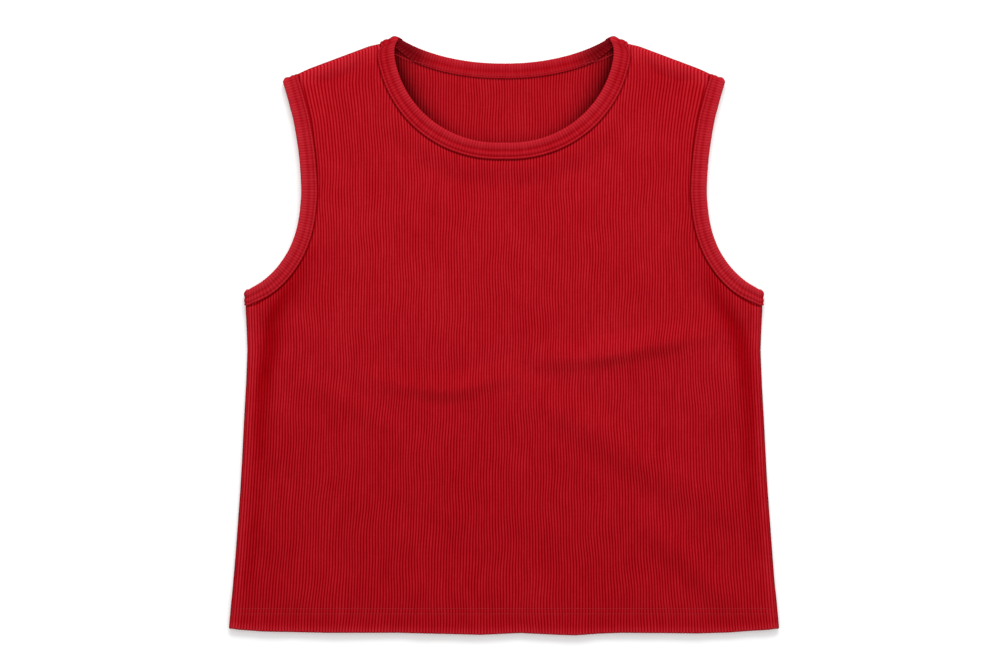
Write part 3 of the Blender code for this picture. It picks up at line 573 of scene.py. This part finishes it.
class Face:
    """One side of a panel's cloth: a T-shaped grid of points with its outline in order."""

    def __init__(self, cloth, panel, outer, columns, lines, steps, upper_steps, ribbed, folds=None):
        depth = groove_depth(columns) * (1.0 if outer else 0.75) if ribbed else np.zeros(columns.shape)
        y = lower_rows(panel, columns, lines, steps)
        cloth_depth = np.broadcast_to(depth, y.shape)
        if outer:
            turns = np.radians(np.arange(1, ROLL_ROWS + 1) * 30.0)[:, None]
            radius = WALL - depth * np.linspace(0.9, 0.3, ROLL_ROWS)[:, None]
            over_edge = np.where(turns < math.pi / 2, np.abs(np.sin(turns)) ** 0.4, 1.0)
            turned = np.vstack([np.zeros((len(y), 1)), over_edge])
            hem = hem_y(self.plan_x(columns, y[-1]))
            y = np.vstack([y, hem + WALL - radius * np.sin(turns)])
            cloth_depth = np.vstack([cloth_depth, WALL - radius * np.cos(turns)])
        else:
            at_turn = sum(len(shares_of(step)) for step in steps[:lines.index("hem_turn")])
            wall = np.where(np.arange(len(y)) > at_turn, DOUBLE_WALL, WALL)[:, None]
            cloth_depth = wall - cloth_depth
            y[at_turn + 1] = y[at_turn] - 0.2
            turned = 0.0
        wander = ribbed and (panel.front or not outer)
        points, side_turn = self.on_side(panel, columns, y, cloth_depth, wander, folds)
        # Painted shade where the cloth turns round the side folds and under the hem, and the face's painted
        # tone and shade
        painted_shading = (np.maximum(side_turn, turned), *panel.painted_shading(points, outer))
        self.lower = cloth.grid(points, columns, y, painted_shading)

        inner = np.flatnonzero(np.abs(columns) <= ARMHOLE_COLUMN)
        self.first, self.last = inner[0], inner[-1]
        narrow = columns[inner]
        depth = depth[inner]
        x, y = upper_rows(panel, narrow, upper_steps)
        if wander:
            still = (np.abs(narrow) / ARMHOLE_COLUMN) ** 8
            x = x + drift(x, y) * (1.0 - still) * rounded_step((y[-1] - y) / 20.0)
        plain_depth = depth if outer else WALL - depth
        z = panel.outer(x, y) - panel.up * plain_depth
        if folds:
            z = z + fold_rise(folds, x, y)
        points = np.stack([x, y, z], axis=-1)
        turn = np.zeros(x.shape)
        end_x, end_y, end_z = x[-1], y[-1], z[-1]
        shoulder = np.abs(end_x) >= panel.neck_edge[-1, 0]
        for step in range(1, SHOULDER_TURNS + 1):
            angle = math.pi / 2 * step / SHOULDER_TURNS
            radius = PANEL_OUT - plain_depth + (depth if outer else -depth) * 0.7 * step / SHOULDER_TURNS
            reach = radius * math.sin(angle)
            arc = (end_x + np.sign(end_x) * SHOULDER_NORMAL[0] * reach, end_y + SHOULDER_NORMAL[1] * reach,
                   BOUND_MID + panel.up * (GAP / 2 + (radius - GAP / 2) * math.cos(angle)))
            cut = (end_x, end_y, end_z - panel.up * (WALL / 2 - plain_depth) * step / SHOULDER_TURNS)
            points = np.vstack([points, np.where(shoulder, arc, cut).T[None]])
            y = np.vstack([y, end_y + reach])
            turn = np.vstack([turn, np.full(end_x.shape, math.sin(angle))])
        level = self.lower[0][inner]
        points, y, turn = points[1:], y[1:], turn[1:]
        # Painted shade over the shoulder's fold, and the face's painted tone and shade
        rows = cloth.grid(points, narrow, y, (turn, *panel.painted_shading(points, outer)), join=level)
        self.upper = np.vstack([level[None], rows])

    @staticmethod
    def plan_x(columns, y):
        return np.clip(columns / RIBS, -1.0, 1.0) * side_at(y)[0]

    def on_side(self, panel, columns, y, depth, wander, folds):
        """Points of the lower part, whose outermost columns turn round the side folds."""
        axis, radius, middle = side_at(y)
        x = self.plan_x(columns, y)
        if wander:
            x = x + drift(x, y) * (1.0 - np.clip(np.abs(columns) / RIBS, 0.0, 1.0) ** 8)
        turn = np.clip((np.abs(columns) - RIBS) / SIDE_COLUMNS, 0.0, 1.0) * math.pi / 2
        turn = np.broadcast_to(turn, y.shape)
        flat_y = np.maximum(y, hem_y(x) + WALL)
        flat = panel.outer(x, flat_y) - panel.up * depth
        if folds:
            flat = flat + fold_rise(folds, x, y)
        reach = radius - depth
        round_x = np.sign(columns) * (axis + reach * np.sin(turn))
        round_z = middle + panel.up * (GAP / 2 + (reach - GAP / 2) * np.cos(turn))
        folded = turn > 0.0
        points = np.stack([np.where(folded, round_x, x), y, np.where(folded, round_z, flat)], axis=-1)
        return points, np.sin(turn)

    def outline(self, points):
        """Points around the face, each with its place: side number plus fraction along it."""
        lower, upper = self.lower, self.upper
        sides = (lower[-1], lower[::-1, -1], lower[0][:self.last - 1:-1], upper[:, -1],
                 upper[-1][::-1], upper[::-1, 0], lower[0][self.first::-1], lower[:, 0])
        places = []
        for number, side in enumerate(sides):
            steps = np.diff(points[side], axis=0)
            lengths = np.linalg.norm(steps, axis=1) if number % 2 else np.abs(steps[:, 0]) + 1e-6
            share = np.concatenate([[0.0], np.cumsum(lengths)])
            share /= share[-1]
            places += [(number + fraction, int(index)) for fraction, index in zip(share[:-1], side[:-1])]
        return places


class Cloth:
    """A closed piece of cloth while it is made: points, faces and what its material reads."""

    def __init__(self):
        self.points, self.uv, self.faces, self.count = [], [], [], 0
        self.painted_shading = {"turn": [], "tone": [], "shade": []}

    def grid(self, points, u, v, painted_shading, join=None, closed=False):
        """Add rows of points and their faces: joined to an earlier row above, or closed both ways."""
        shape = points.shape[:2]
        index = np.arange(self.count, self.count + points[..., 0].size).reshape(shape)
        self.points.append(points.reshape(-1, 3))
        uv = np.stack([np.broadcast_to(u, shape) / 2.0, np.broadcast_to(v, shape)], axis=-1)
        self.uv.append(uv.reshape(-1, 2))
        for values, added in zip(self.painted_shading.values(), painted_shading):
            values.append(np.broadcast_to(added, shape).ravel())
        self.count += index.size
        whole = index if join is None else np.vstack([join[None], index])
        whole = np.pad(whole, (0, 1), mode="wrap") if closed else whole
        quads = np.stack([whole[:-1, :-1], whole[:-1, 1:], whole[1:, 1:], whole[1:, :-1]], axis=-1)
        self.faces += quads.reshape(-1, 4).tolist()
        return index

    def all_points(self):
        return np.vstack(self.points)

    def zip_rings(self, first, second):
        """Triangles between two closed rings whose points carry rising places."""
        first, second = ([*ring, (SIDES + ring[0][0], ring[0][1])] for ring in (first, second))
        a, b = 0, 0
        while a + 1 < len(first) or b + 1 < len(second):
            if b + 1 == len(second) or (a + 1 < len(first) and first[a + 1][0] <= second[b + 1][0]):
                self.faces.append((first[a][1], first[a + 1][1], second[b][1]))
                a += 1
            else:
                self.faces.append((first[a][1], second[b + 1][1], second[b][1]))
                b += 1

    def finish(self, name, material, period=None):
        """The named object: ribs along U, millimetres along V. A band of quads closes after its period."""
        data = bpy.data.meshes.new(name)
        data.from_pydata((self.all_points() * MM).tolist(), [], self.faces)
        corner = np.zeros(len(data.loops), dtype=np.int32)
        data.loops.foreach_get("vertex_index", corner)
        corner_uv = np.vstack(self.uv)[corner]
        if period:
            highest = corner_uv[:, 0].reshape(-1, 4).max(axis=1).repeat(4)
            corner_uv[highest - corner_uv[:, 0] > period / 2, 0] += period
        layer = data.uv_layers.new(name="cloth")
        layer.data.foreach_set("uv", corner_uv.astype(np.float32).ravel())
        for label, values in self.painted_shading.items():
            layer = data.attributes.new(label, "FLOAT", "POINT")
            layer.data.foreach_set("value", np.concatenate(values).astype(np.float32))
        mesh = bmesh.new()
        mesh.from_mesh(data)
        bmesh.ops.recalc_face_normals(mesh, faces=mesh.faces[:])
        mesh.to_mesh(data)
        mesh.free()
        data.shade_smooth()
        return in_scene(name, data, material)


def in_scene(name, data, material=None):
    """A new object of the scene."""
    if material:
        data.materials.append(material)
    made = bpy.data.objects.new(name, data)
    scene.collection.objects.link(made)
    return made


# Columns of a ribbed face, with the ones that turn round the side folds, and of one that is not seen
RIB_COLUMNS = np.arange(-RIBS - SIDE_COLUMNS, RIBS + SIDE_COLUMNS + 0.25, 0.5)
PLAIN_RIGHT = (*range(0, 78, 6), 79, 82, 83, *range(89, 144, 6), 146, 147, 149, 152, *range(157, 182, 6),
               *range(184, 195, 2))
PLAIN_COLUMNS = np.unique([sign * column for column in PLAIN_RIGHT for sign in (-1, 1)]).astype(float)


def build_panel(name, front, material):
    """Both faces of a panel, with the hem rolled under and the side and shoulder folds turned."""
    cloth, panel = Cloth(), Panel(front)
    if front:
        outer = Face(cloth, panel, True, RIB_COLUMNS, (*TOP_LINES, *LINES, *HEM_ROWS, "hem_start"),
                     (UNDER_ARM_STEPS, 5, 8, 8, 6, 11, 12, 9, 11, 5), (13, UNDER_NECK_STEPS), True)
        inner = Face(cloth, panel, False, PLAIN_COLUMNS, (*TOP_LINES, *LINES, *HEM_LINES),
                     (3, 3, 6, 4, 4, 6, 8, 5, 1, 3), (5, 4), False)
    else:
        lines = (*TOP_LINES, "above_creases", "valley", "hem_top")
        outer = Face(cloth, panel, True, RIB_COLUMNS, (*lines, "hem_start"), (1, 1, 1, 7, 3, 1), (2, 2), True)
        inner = Face(cloth, panel, False, RIB_COLUMNS, (*lines, "hem_turn", "hem_start"),
                     (2, 1, 1, 7, 3, 1, 3), (14, 10), True, INNER_FOLDS)
    points = cloth.all_points()
    cloth.zip_rings(outer.outline(points), inner.outline(points))
    return cloth.finish(name, material)


# Section of a binding: reach as a share of its width, rise from the fold's middle, share of the ribs'
# relief, tone of the knit: painted highlight on the rolled opening edge and the lip, painted shade in the
# dips and along the seam, partly the yarn showing where the ribs stretch
UNDER_SECTION = (
    (1, 3.05, 0, -0.3), (0.1, 3.05, 0, 0), (0.08, 2.1, 0, 0), (0.1, 1.15, 0, 0))
INNER_SECTION = (
    (1, 1.15, 0, 0), (1, 0.5, 0, 0.1), (0.965, 0.2, 0, 0.05), (0.93, 0.1, 0.1, 0.05), (0.86, 0.3, 0.1, -0.02),
    (0.76, 0.15, 0.1, 0.04), (0.68, 0.2, 0.2, 0.02), (0.6, 0.4, 0.5, -0.06), (0.52, 0.4, 0.9, -0.06),
    (0.4, 0.25, 1, 0.05), (0.28, 0.15, 1, 0.12), (0.15, 0.15, 1, 0.17), (0.07, 0.25, 1, 0.14),
    (0.02, 0.7, 1, 0), (0, 1.4, 1, -0.15))
OUTER_SECTION = (
    (0, 2.1, 1, -0.1), (0.004, 2.9, 1, 0.02), (0.02, 3.5, 1, 0.1), (0.05, 3.9, 1, 0.17), (0.1, 4.15, 1, 0.18),
    (0.17, 4.3, 1, 0.16), (0.25, 4.35, 1, 0.14), (0.33, 4.25, 1, 0.12), (0.4, 4, 1, 0.05),
    (0.46, 3.7, 0.9, -0.05), (0.51, 3.55, 0.6, -0.08), (0.56, 3.65, 0.3, -0.03), (0.62, 3.95, 0.15, 0.06),
    (0.69, 4.1, 0.1, 0.06), (0.76, 4, 0.1, 0), (0.81, 3.7, 0.1, -0.13), (0.86, 3.6, 0, -0.12),
    (0.9, 3.9, 0, 0.07), (0.935, 4.05, 0, 0.12), (0.97, 3.9, 0, 0), (1, 3.5, 0, -0.15))
FOLD_TURNS = 22
NECK_CORNER = (3.2, 1.2)    # how round a band's corner is where it turns over a fold, and how far it arches
ARMHOLE_CORNER = (4.4, 0.0)


def section_of(width, inner_width):
    """Reach and rise in millimetres, relief share and tone, all round a folded band."""
    parts = ((width, UNDER_SECTION), (inner_width, INNER_SECTION), (width, OUTER_SECTION))
    return np.array([(size * share, *others) for size, rows in parts for share, *others in rows])


def strip(line, opening, ends, widths, inner_widths, blend, per_rib):
    """Stations along one side of a band, as point, way into the panel and both widths; and their ribs."""
    ribs = int(round(travelled_along(line)[-1] / BINDING_PITCH))
    points = evenly(line, ribs * per_rib + 1)
    travelled = travelled_along(points)
    start = beside(travelled, 0.0, blend)
    finish = beside(travelled[-1] - travelled, 0.0, blend)
    into = (normals_of(points, opening) * (1.0 - start - finish)[:, None]
            + np.array(ends[0]) * start[:, None] + np.array(ends[1]) * finish[:, None])
    into /= np.linalg.norm(into, axis=1)[:, None]
    near_end = np.maximum(start, finish)
    both = (plain + (at_end - plain) * near_end for plain, at_end in (widths, inner_widths))
    return np.column_stack([points, into, *both]), np.arange(len(points)) / per_rib


def build_band(name, front, back, outwards, corner, material, painted_shading=None):
    """A closed band: front strip, over one fold, back strip, over the other fold."""
    parts, rib = [], 0.0
    steps = np.arange(1, FOLD_TURNS) / FOLD_TURNS
    share = ((1.0 - np.cos(math.pi * steps)) / 2.0)[:, None]
    for index, (stations, ribs) in enumerate((front, back)):
        parts.append((stations, np.full(len(ribs), math.pi * index), np.zeros((len(ribs), 2)), ribs + rib))
        rib += ribs[-1]
        following = (back, front)[index][0]
        mixed = stations[-1] * (1.0 - share) + following[0] * share
        side = np.tile(np.array(outwards[index]) * (1.0, -1.0)[index], (len(steps), 1))
        parts.append((mixed, math.pi * (index + steps), side, rib + steps * FOLD_TURNS / 4))
        rib += FOLD_TURNS / 4
    stations, turn, side, ribs = (np.concatenate(column) for column in zip(*parts))
    width, inner = stations[:, 4], stations[:, 5]
    period = round(rib)
    ribs = ribs * period / rib
    sections = np.array([section_of(*pair) for pair in zip(width, inner)])
    reach, rise, relief, tone = (sections[:, :, k] for k in range(4))
    groove = (np.abs(np.mod(ribs, 1.0) - 0.5) * 2.0) ** 2.0
    strength = np.random.default_rng(len(name)).uniform(0.55, 1.25, period + 2)
    groove = groove * strength[np.round(ribs).astype(int)]
    over = np.abs(np.sin(turn))[:, None]
    rounding, proud = corner[0] * over, corner[1] * over
    short = np.clip(1.0 - reach / np.maximum(rounding, 1e-6), 0.0, 1.0)
    arch = proud * np.clip(reach / 4.0, 0.0, 1.0) * np.clip((width[:, None] - reach) / 2.0, 0.0, 1.0)
    rise = np.where(rise > 2.5, rise - rounding * 0.5 * short ** 2 + arch, rise)
    pressed = BINDING_RELIEF * groove[:, None] * relief
    rise = 2.1 + (rise - 2.1) * (1.0 - pressed / 2.2)
    reach = reach + pressed * np.clip(1.0 - reach, 0.0, 1.0) * 0.6
    sideways = rise * np.sin(turn)[:, None]
    x, y = (stations[:, k, None] + stations[:, k + 2, None] * reach + side[:, k, None] * sideways
            for k in (0, 1))
    z = np.maximum(BOUND_MID + rise * np.cos(turn)[:, None], 0.0)
    cloth = Cloth()
    # Painted shade where the band turns over its opening edge and round its folds
    turned = np.maximum(np.clip(1.0 - reach / 0.9, 0.0, 1.0), over ** 2)
    # The band's painted tone and shade, where given
    shift, shade = painted_shading(x, y, z) if painted_shading else (0.0, 0.0)
    cloth.grid(np.stack([x, y, z], axis=-1), 2.0 * ribs[:, None], reach,
               (turned, tone + shift, shade * (sections[:, :, 1] < 1.5)), closed=True)
    return cloth.finish(name, material, period)


def neck_tone_and_shade(x, y, z):
    """The neck band is a little darker, and has painted shade inside the shoulder, where its front hangs over
    it.
    """
    return -0.1, 0.6 * rounded_step((np.abs(x) - 52.0) / 30.0) * (z < BOUND_MID - 0.1) * (y > 225.0)


def feed(tree, socket, value):
    """Link a socket, or set its value."""
    value = getattr(value, "socket", value)
    if isinstance(value, bpy.types.NodeSocket):
        tree.links.new(value, socket)
    else:
        socket.default_value = value


def add_node(tree, kind, inputs=None, output=0, **settings):
    """Add a node: its settings first, then its inputs' values or links. Gives one of its outputs."""
    made = tree.nodes.new(kind)
    for key, value in settings.items():
        setattr(made, key, value)
    for key, value in (inputs or {}).items():
        feed(tree, made.inputs[key], value)
    return made.outputs[output]


class Signal:
    """A number on its way through a material: arithmetic on it adds Math nodes."""

    def __init__(self, paint, socket):
        self.paint, self.socket = paint, socket

    def math(self, operation, *others):
        return self.paint.node("Math", dict(enumerate((self, *others))), operation=operation)

    def __add__(self, other):
        return self.math("ADD", other)

    __radd__ = __add__

    def __sub__(self, other):
        return self.math("SUBTRACT", other)

    def __rsub__(self, other):
        return self.paint.node("Math", {0: other, 1: self}, operation="SUBTRACT")

    def __mul__(self, other):
        return self.math("MULTIPLY", other)

    __rmul__ = __mul__


class Paint:
    """A named material and its nodes."""

    def __init__(self, name):
        self.material = bpy.data.materials.new(name)
        self.material.use_nodes = True
        self.tree = self.material.node_tree
        self.shader = self.tree.nodes["Principled BSDF"]

    def node(self, kind, inputs=None, output=0, **settings):
        return Signal(self, add_node(self.tree, "ShaderNode" + kind, inputs, output, **settings))

    def surface(self, **values):
        """Values or links of the shader's inputs, with _ for a space."""
        for key, value in values.items():
            feed(self.tree, self.shader.inputs[key.replace("_", " ")], value)

    def smooth(self, value, low, high, to_low=0.0, to_high=1.0):
        """Map a number smoothly from one range onto another."""
        ends = {"From Min": low, "From Max": high, "To Min": to_low, "To Max": to_high}
        return self.node("MapRange", {"Value": value, **ends}, interpolation_type="SMOOTHSTEP")

    def noise(self, place, scale, detail, roughness=0.5, **settings):
        values = {"Vector": place, "Scale": scale, "Detail": detail, "Roughness": roughness}
        return self.node("TexNoise", values, **settings)

    def blend(self, factor, dark, light):
        """Mix two colours; a Mix node keeps its colour inputs at 6 and 7 and gives the result at 2."""
        return self.node("Mix", {0: factor, 6: dark, 7: light}, 2, data_type="RGBA")

    def ramp(self, value, colours):
        """Colours spaced evenly along a number from 0 to 1."""
        made = self.tree.nodes.new("ShaderNodeValToRGB")
        elements = made.color_ramp.elements
        last = len(colours) - 1
        for index in range(1, last):
            elements.new(index / last)
        for index, colour in enumerate(colours):
            elements[index].position, elements[index].color = index / last, (*colour, 1.0)
        feed(self.tree, made.inputs[0], value)
        return Signal(self, made.outputs[0])


def rib_knit(name, colours, contrast, streaks):
    """Knit cloth whose ribs are counted along U: painted shade in the grooves and painted highlight on the
    crests, uneven yarn, chevron stitches, and the points' painted tone and shade.
    """
    paint = Paint(name)
    coordinates = paint.node("UVMap", uv_map="cloth")
    u, v = (paint.node("SeparateXYZ", {"Vector": coordinates}, axis) for axis in "XY")
    turn, painted_shading, shade = (paint.node("Attribute", output="Fac", attribute_name=label)
            for label in ("turn", "tone", "shade"))
    rib = u.math("FLOOR")
    from_crest = (u.math("FRACT") - 0.5).math("ABSOLUTE") * 2.0
    groove = paint.smooth(from_crest, 0.3, 0.85)

    along_rib = paint.node("CombineXYZ", {"X": rib * 5.37, "Y": v * 0.045})
    streak = paint.noise(along_rib, 1.0, 2.0, 0.6, noise_dimensions="2D")
    flecks_at = paint.node("CombineXYZ", {"X": rib * 2.71, "Y": v * 0.42})
    fleck = paint.noise(flecks_at, 1.0, 3.0, 0.7, noise_dimensions="2D")
    cloud = paint.noise(paint.node("TexCoord", output="Object"), 17.0, 2.0, 0.5)
    chevron = (v * (1.0 / STITCH_LENGTH) + from_crest * 0.5).math("FRACT")
    loop = (chevron - 0.5).math("ABSOLUTE") * 2.0
    crest = 1.0 - groove

    # Painted shade in the grooves and painted highlight on the crests, less deep where painted shade darkens
    # the knit
    tone = (0.5 + painted_shading + (streak - 0.5) * streaks + (fleck - 0.5) * (streaks * 0.7) + (cloud - 0.5) * 0.16
            + (crest - 0.5) * paint.smooth(painted_shading, -0.3, -0.08, 0.45 * contrast, contrast)
            + (loop - 0.5) * crest * 0.06)
    # Painted shade under the neck band's front and where the cloth turns over an edge
    lit = (1.0 - shade) * (1.0 - turn.math("POWER", 3.0) * EDGE_DARKNESS)
    relief = loop * crest * 0.6 + fleck * 0.5
    bumped = paint.node("Bump", {"Strength": 0.25, "Distance": 0.00018, "Height": relief})
    paint.surface(Base_Color=paint.blend(lit, (0.0, 0.0, 0.0, 1.0), paint.ramp(tone, colours)),
                  Roughness=0.88 + groove * 0.1, Normal=bumped, Specular_IOR_Level=0.01)
    return paint.material


def sewing_thread(name, dark, light):
    """Matt twisted thread."""
    paint = Paint(name)
    twist = paint.noise(paint.node("TexCoord", output="Object"), 900.0, 1.0)
    paint.surface(Base_Color=paint.blend(twist, dark, light), Roughness=0.9, Specular_IOR_Level=0.02)
    return paint.material


def stitch_tree():
    """Short arched stitches, end to end along the lines of a wire mesh; also gives its inputs' keys."""
    tree = bpy.data.node_groups.new("stitches", "GeometryNodeTree")
    new_socket = tree.interface.new_socket
    new_socket("Geometry", in_out="INPUT", socket_type="NodeSocketGeometry")
    kinds = {**dict.fromkeys(HEM_STITCHES, "NodeSocketFloat"), "Thread": "NodeSocketMaterial"}
    keys = {label: new_socket(label, in_out="INPUT", socket_type=kind).identifier
            for label, kind in kinds.items()}
    new_socket("Geometry", in_out="OUTPUT", socket_type="NodeSocketGeometry")
    given = tree.nodes.new("NodeGroupInput").outputs
    end = tree.nodes.new("NodeGroupOutput")
    add = functools.partial(add_node, tree)
    line = add("GeometryNodeMeshToCurve", {"Mesh": given["Geometry"]})
    line = add("GeometryNodeResampleCurve", {"Curve": line, "Length": given["Pitch"]}, mode="LENGTH")
    facing = add("FunctionNodeAlignRotationToVector", {"Vector": add("GeometryNodeInputTangent")}, axis="X")
    tips = []
    for share in (-0.5, 0.5):
        half = add("ShaderNodeMath", {0: given["Reach"], 1: share}, operation="MULTIPLY")
        tips.append(add("ShaderNodeCombineXYZ", {"X": half}))
    middle = add("ShaderNodeCombineXYZ", {"Z": given["Height"]})
    arc = add("GeometryNodeCurveQuadraticBezier",
              {"Resolution": 4, "Start": tips[0], "Middle": middle, "End": tips[1]})
    ring = add("GeometryNodeCurvePrimitiveCircle", {"Resolution": 6, "Radius": given["Thickness"]},
               mode="RADIUS")
    stitch = add("GeometryNodeCurveToMesh", {"Curve": arc, "Profile Curve": ring, "Fill Caps": True})
    laid = add("GeometryNodeInstanceOnPoints", {"Points": line, "Instance": stitch, "Rotation": facing})
    for kind in ("RealizeInstances", "SetShadeSmooth"):
        laid = add("GeometryNode" + kind, {"Geometry": laid})
    sewn = add("GeometryNodeSetMaterial", {"Geometry": laid, "Material": given["Thread"]})
    tree.links.new(sewn, end.inputs[0])
    return tree, keys


def sew(name, lines, sizes):
    """Stitches along one or more lines of points, as one plain mesh."""
    data = bpy.data.meshes.new(name + "_lines")
    edges, start = [], 0
    for line in lines:
        edges += [(start + k, start + k + 1) for k in range(len(line) - 1)]
        start += len(line)
    data.from_pydata((np.vstack(lines) * MM).tolist(), edges, [])
    guide = in_scene(name + "_guide", data)
    layer = guide.modifiers.new("stitches", "NODES")
    layer.node_group = stitches
    for label, value in sizes.items():
        layer[stitch_keys[label]] = value * MM
    layer[stitch_keys["Thread"]] = thread
    made = bpy.data.meshes.new_from_object(guide.evaluated_get(bpy.context.evaluated_depsgraph_get()))
    made.name = name
    made.materials.clear()
    bpy.data.objects.remove(guide)
    return in_scene(name, made, thread)


def build_floor():
    paint = Paint("white_surface")
    paint.surface(Base_Color=(0.9, 0.9, 0.9, 1.0), Roughness=0.9, Emission_Color=(1.0, 1.0, 1.0, 1.0),
                  Emission_Strength=0.15)
    data = bpy.data.meshes.new("floor")
    corners = [(x, y, -0.0003) for x, y in ((-4, -4), (4, -4), (4, 4), (-4, 4))]
    data.from_pydata(corners, [], [(0, 1, 2, 3)])
    in_scene("floor", data, paint.material)


def build_lights():
    """A broad lamp above the neck end, and even white light from everywhere."""
    world = bpy.data.worlds.new("studio")
    scene.world = world
    world.use_nodes = True
    background = world.node_tree.nodes["Background"].inputs
    background["Color"].default_value = (1.0, 1.0, 1.0, 1.0)
    background["Strength"].default_value = 0.75
    lamp = bpy.data.lights.new("window", "AREA")
    lamp.shape = "RECTANGLE"
    lamp.size, lamp.size_y = 1.6, 0.85
    lamp.energy = 32.0
    holder = in_scene("window", lamp)
    holder.location = (0.15, 1.5, 1.1)
    holder.rotation_euler = (-math.radians(53.8), 0.0, math.radians(-5.7))


def build_camera():
    """Straight down over the middle, with the photograph's field of view."""
    camera = bpy.data.cameras.new("camera")
    camera.sensor_width = 36.0
    camera.lens = 125.8
    holder = in_scene("camera", camera)
    holder.location = (0.0, -0.0003, 3.0)
    scene.camera = holder
    scene.view_settings.view_transform = "Standard"
    scene.view_settings.look = "None"


build_camera()
build_lights()
build_floor()

# Colours from the darkest groove to the lightest crest, which carry painted shade in the grooves and painted
# highlight on the crests
BODY_REDS = ((0.148, 0.0001, 0.0006), (0.258, 0.0003, 0.0018), (0.320, 0.0024, 0.0066),
             (0.386, 0.0084, 0.0152), (0.468, 0.0190, 0.029))
BAND_REDS = ((0.145, 0.0002, 0.0010), (0.255, 0.0010, 0.0034), (0.332, 0.0064, 0.0122),
             (0.408, 0.0170, 0.0260), (0.500, 0.036, 0.050))
body_knit = rib_knit("body_rib_knit", BODY_REDS, 0.55, 0.22)
band_knit = rib_knit("band_rib_knit", BAND_REDS, 0.18, 0.20)
thread = sewing_thread("red_thread", (0.37, 0.012, 0.020, 1), (0.45, 0.020, 0.030, 1))

front_cloth = build_panel("front_cloth", True, body_knit)
back_cloth = build_panel("back_cloth", False, body_knit)

# Neck band
NECK_ENDS = tuple((side * SHOULDER_COS, -SHOULDER_SLOPE * SHOULDER_COS) for side in (-1, 1))
neck_front = strip(mirrored(front_band_line()), NECK_CENTRE, NECK_ENDS,
        (NECK_FRONT_WIDTH, NECK_END_WIDTH), INNER_WIDTHS["front"], 26.0, 4)
neck_back = strip(mirrored(back_band_line())[::-1], NECK_CENTRE, NECK_ENDS[::-1],
        (NECK_BACK_WIDTH, NECK_END_WIDTH + BAND_HALF - BACK_BAND_HALF), INNER_WIDTHS["back"],
        26.0, 4)
neck_band = build_band("neck_band", neck_front, neck_back,
        (SHOULDER_NORMAL, (-SHOULDER_NORMAL[0], SHOULDER_NORMAL[1])), NECK_CORNER, band_knit,
        neck_tone_and_shade)

arm_fronts, arm_bands = {}, {}
for side, label in ((-1, "left"), (1, "right")):
    line = ARMHOLE_CURVE * np.array((side, 1.0))
    ends = ((-side * SHOULDER_COS, SHOULDER_SLOPE * SHOULDER_COS), (0.0, -1.0))
    centre = (side * ARMHOLE_CENTRE[0], ARMHOLE_CENTRE[1])
    arm_fronts[label], arm_back = (
        strip(line[::way], centre, ends[::way], (ARMHOLE_WIDTH, ARMHOLE_WIDTH), INNER_WIDTHS["armhole"], 24.0,
              per_rib) for way, per_rib in ((1, 4), (-1, 2)))
    arm_bands[label] = build_band("armhole_band_" + label, arm_fronts[label], arm_back,
            ((side, 0.0), (side * SHOULDER_NORMAL[0], SHOULDER_NORMAL[1])),
            ARMHOLE_CORNER, band_knit)

# Sewing
stitches, stitch_keys = stitch_tree()
hem_x = np.linspace(-229.0, 229.0, 500)
hem_lines = []
for line_y in HEM_STITCH_Y:
    hem_row = np.full(hem_x.shape, line_y)
    hem_lines.append(np.stack([hem_x, hem_row, Panel(True).outer(hem_x, hem_row) - 0.02], axis=1))
hem_stitches = sew("hem_stitches", hem_lines, HEM_STITCHES)


def sew_band(name, band, above):
    """A line of sewing near a strip's inner edge, at a height from the fold's middle."""
    stations = band[0]
    plan = stations[:, :2] + stations[:, 2:4] * (stations[:, 4] * 0.9)[:, None]
    line = np.column_stack([plan, np.full(len(plan), BOUND_MID + above)])
    return sew(name, [line], BAND_STITCHES)


neck_stitches = sew_band("neck_stitches", neck_front, 3.8)
neck_inner_stitches = sew_band("neck_inner_stitches", neck_back, -0.2)
arm_stitches = {label: sew_band("armhole_stitches_" + label, strip_front, 3.8)
                for label, strip_front in arm_fronts.items()}

for slot, pieces in (("rib_knit", (front_cloth, back_cloth, hem_stitches)),
        ("binding_knit", (neck_band, *arm_bands.values(), neck_stitches, neck_inner_stitches,
                          *arm_stitches.values()))):
    for piece in pieces:
        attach(piece, "root")
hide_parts("front_panel")
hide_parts("back_panel")
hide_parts("neck_binding")
for label, band in arm_bands.items():
    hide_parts("armhole_binding_" + label)
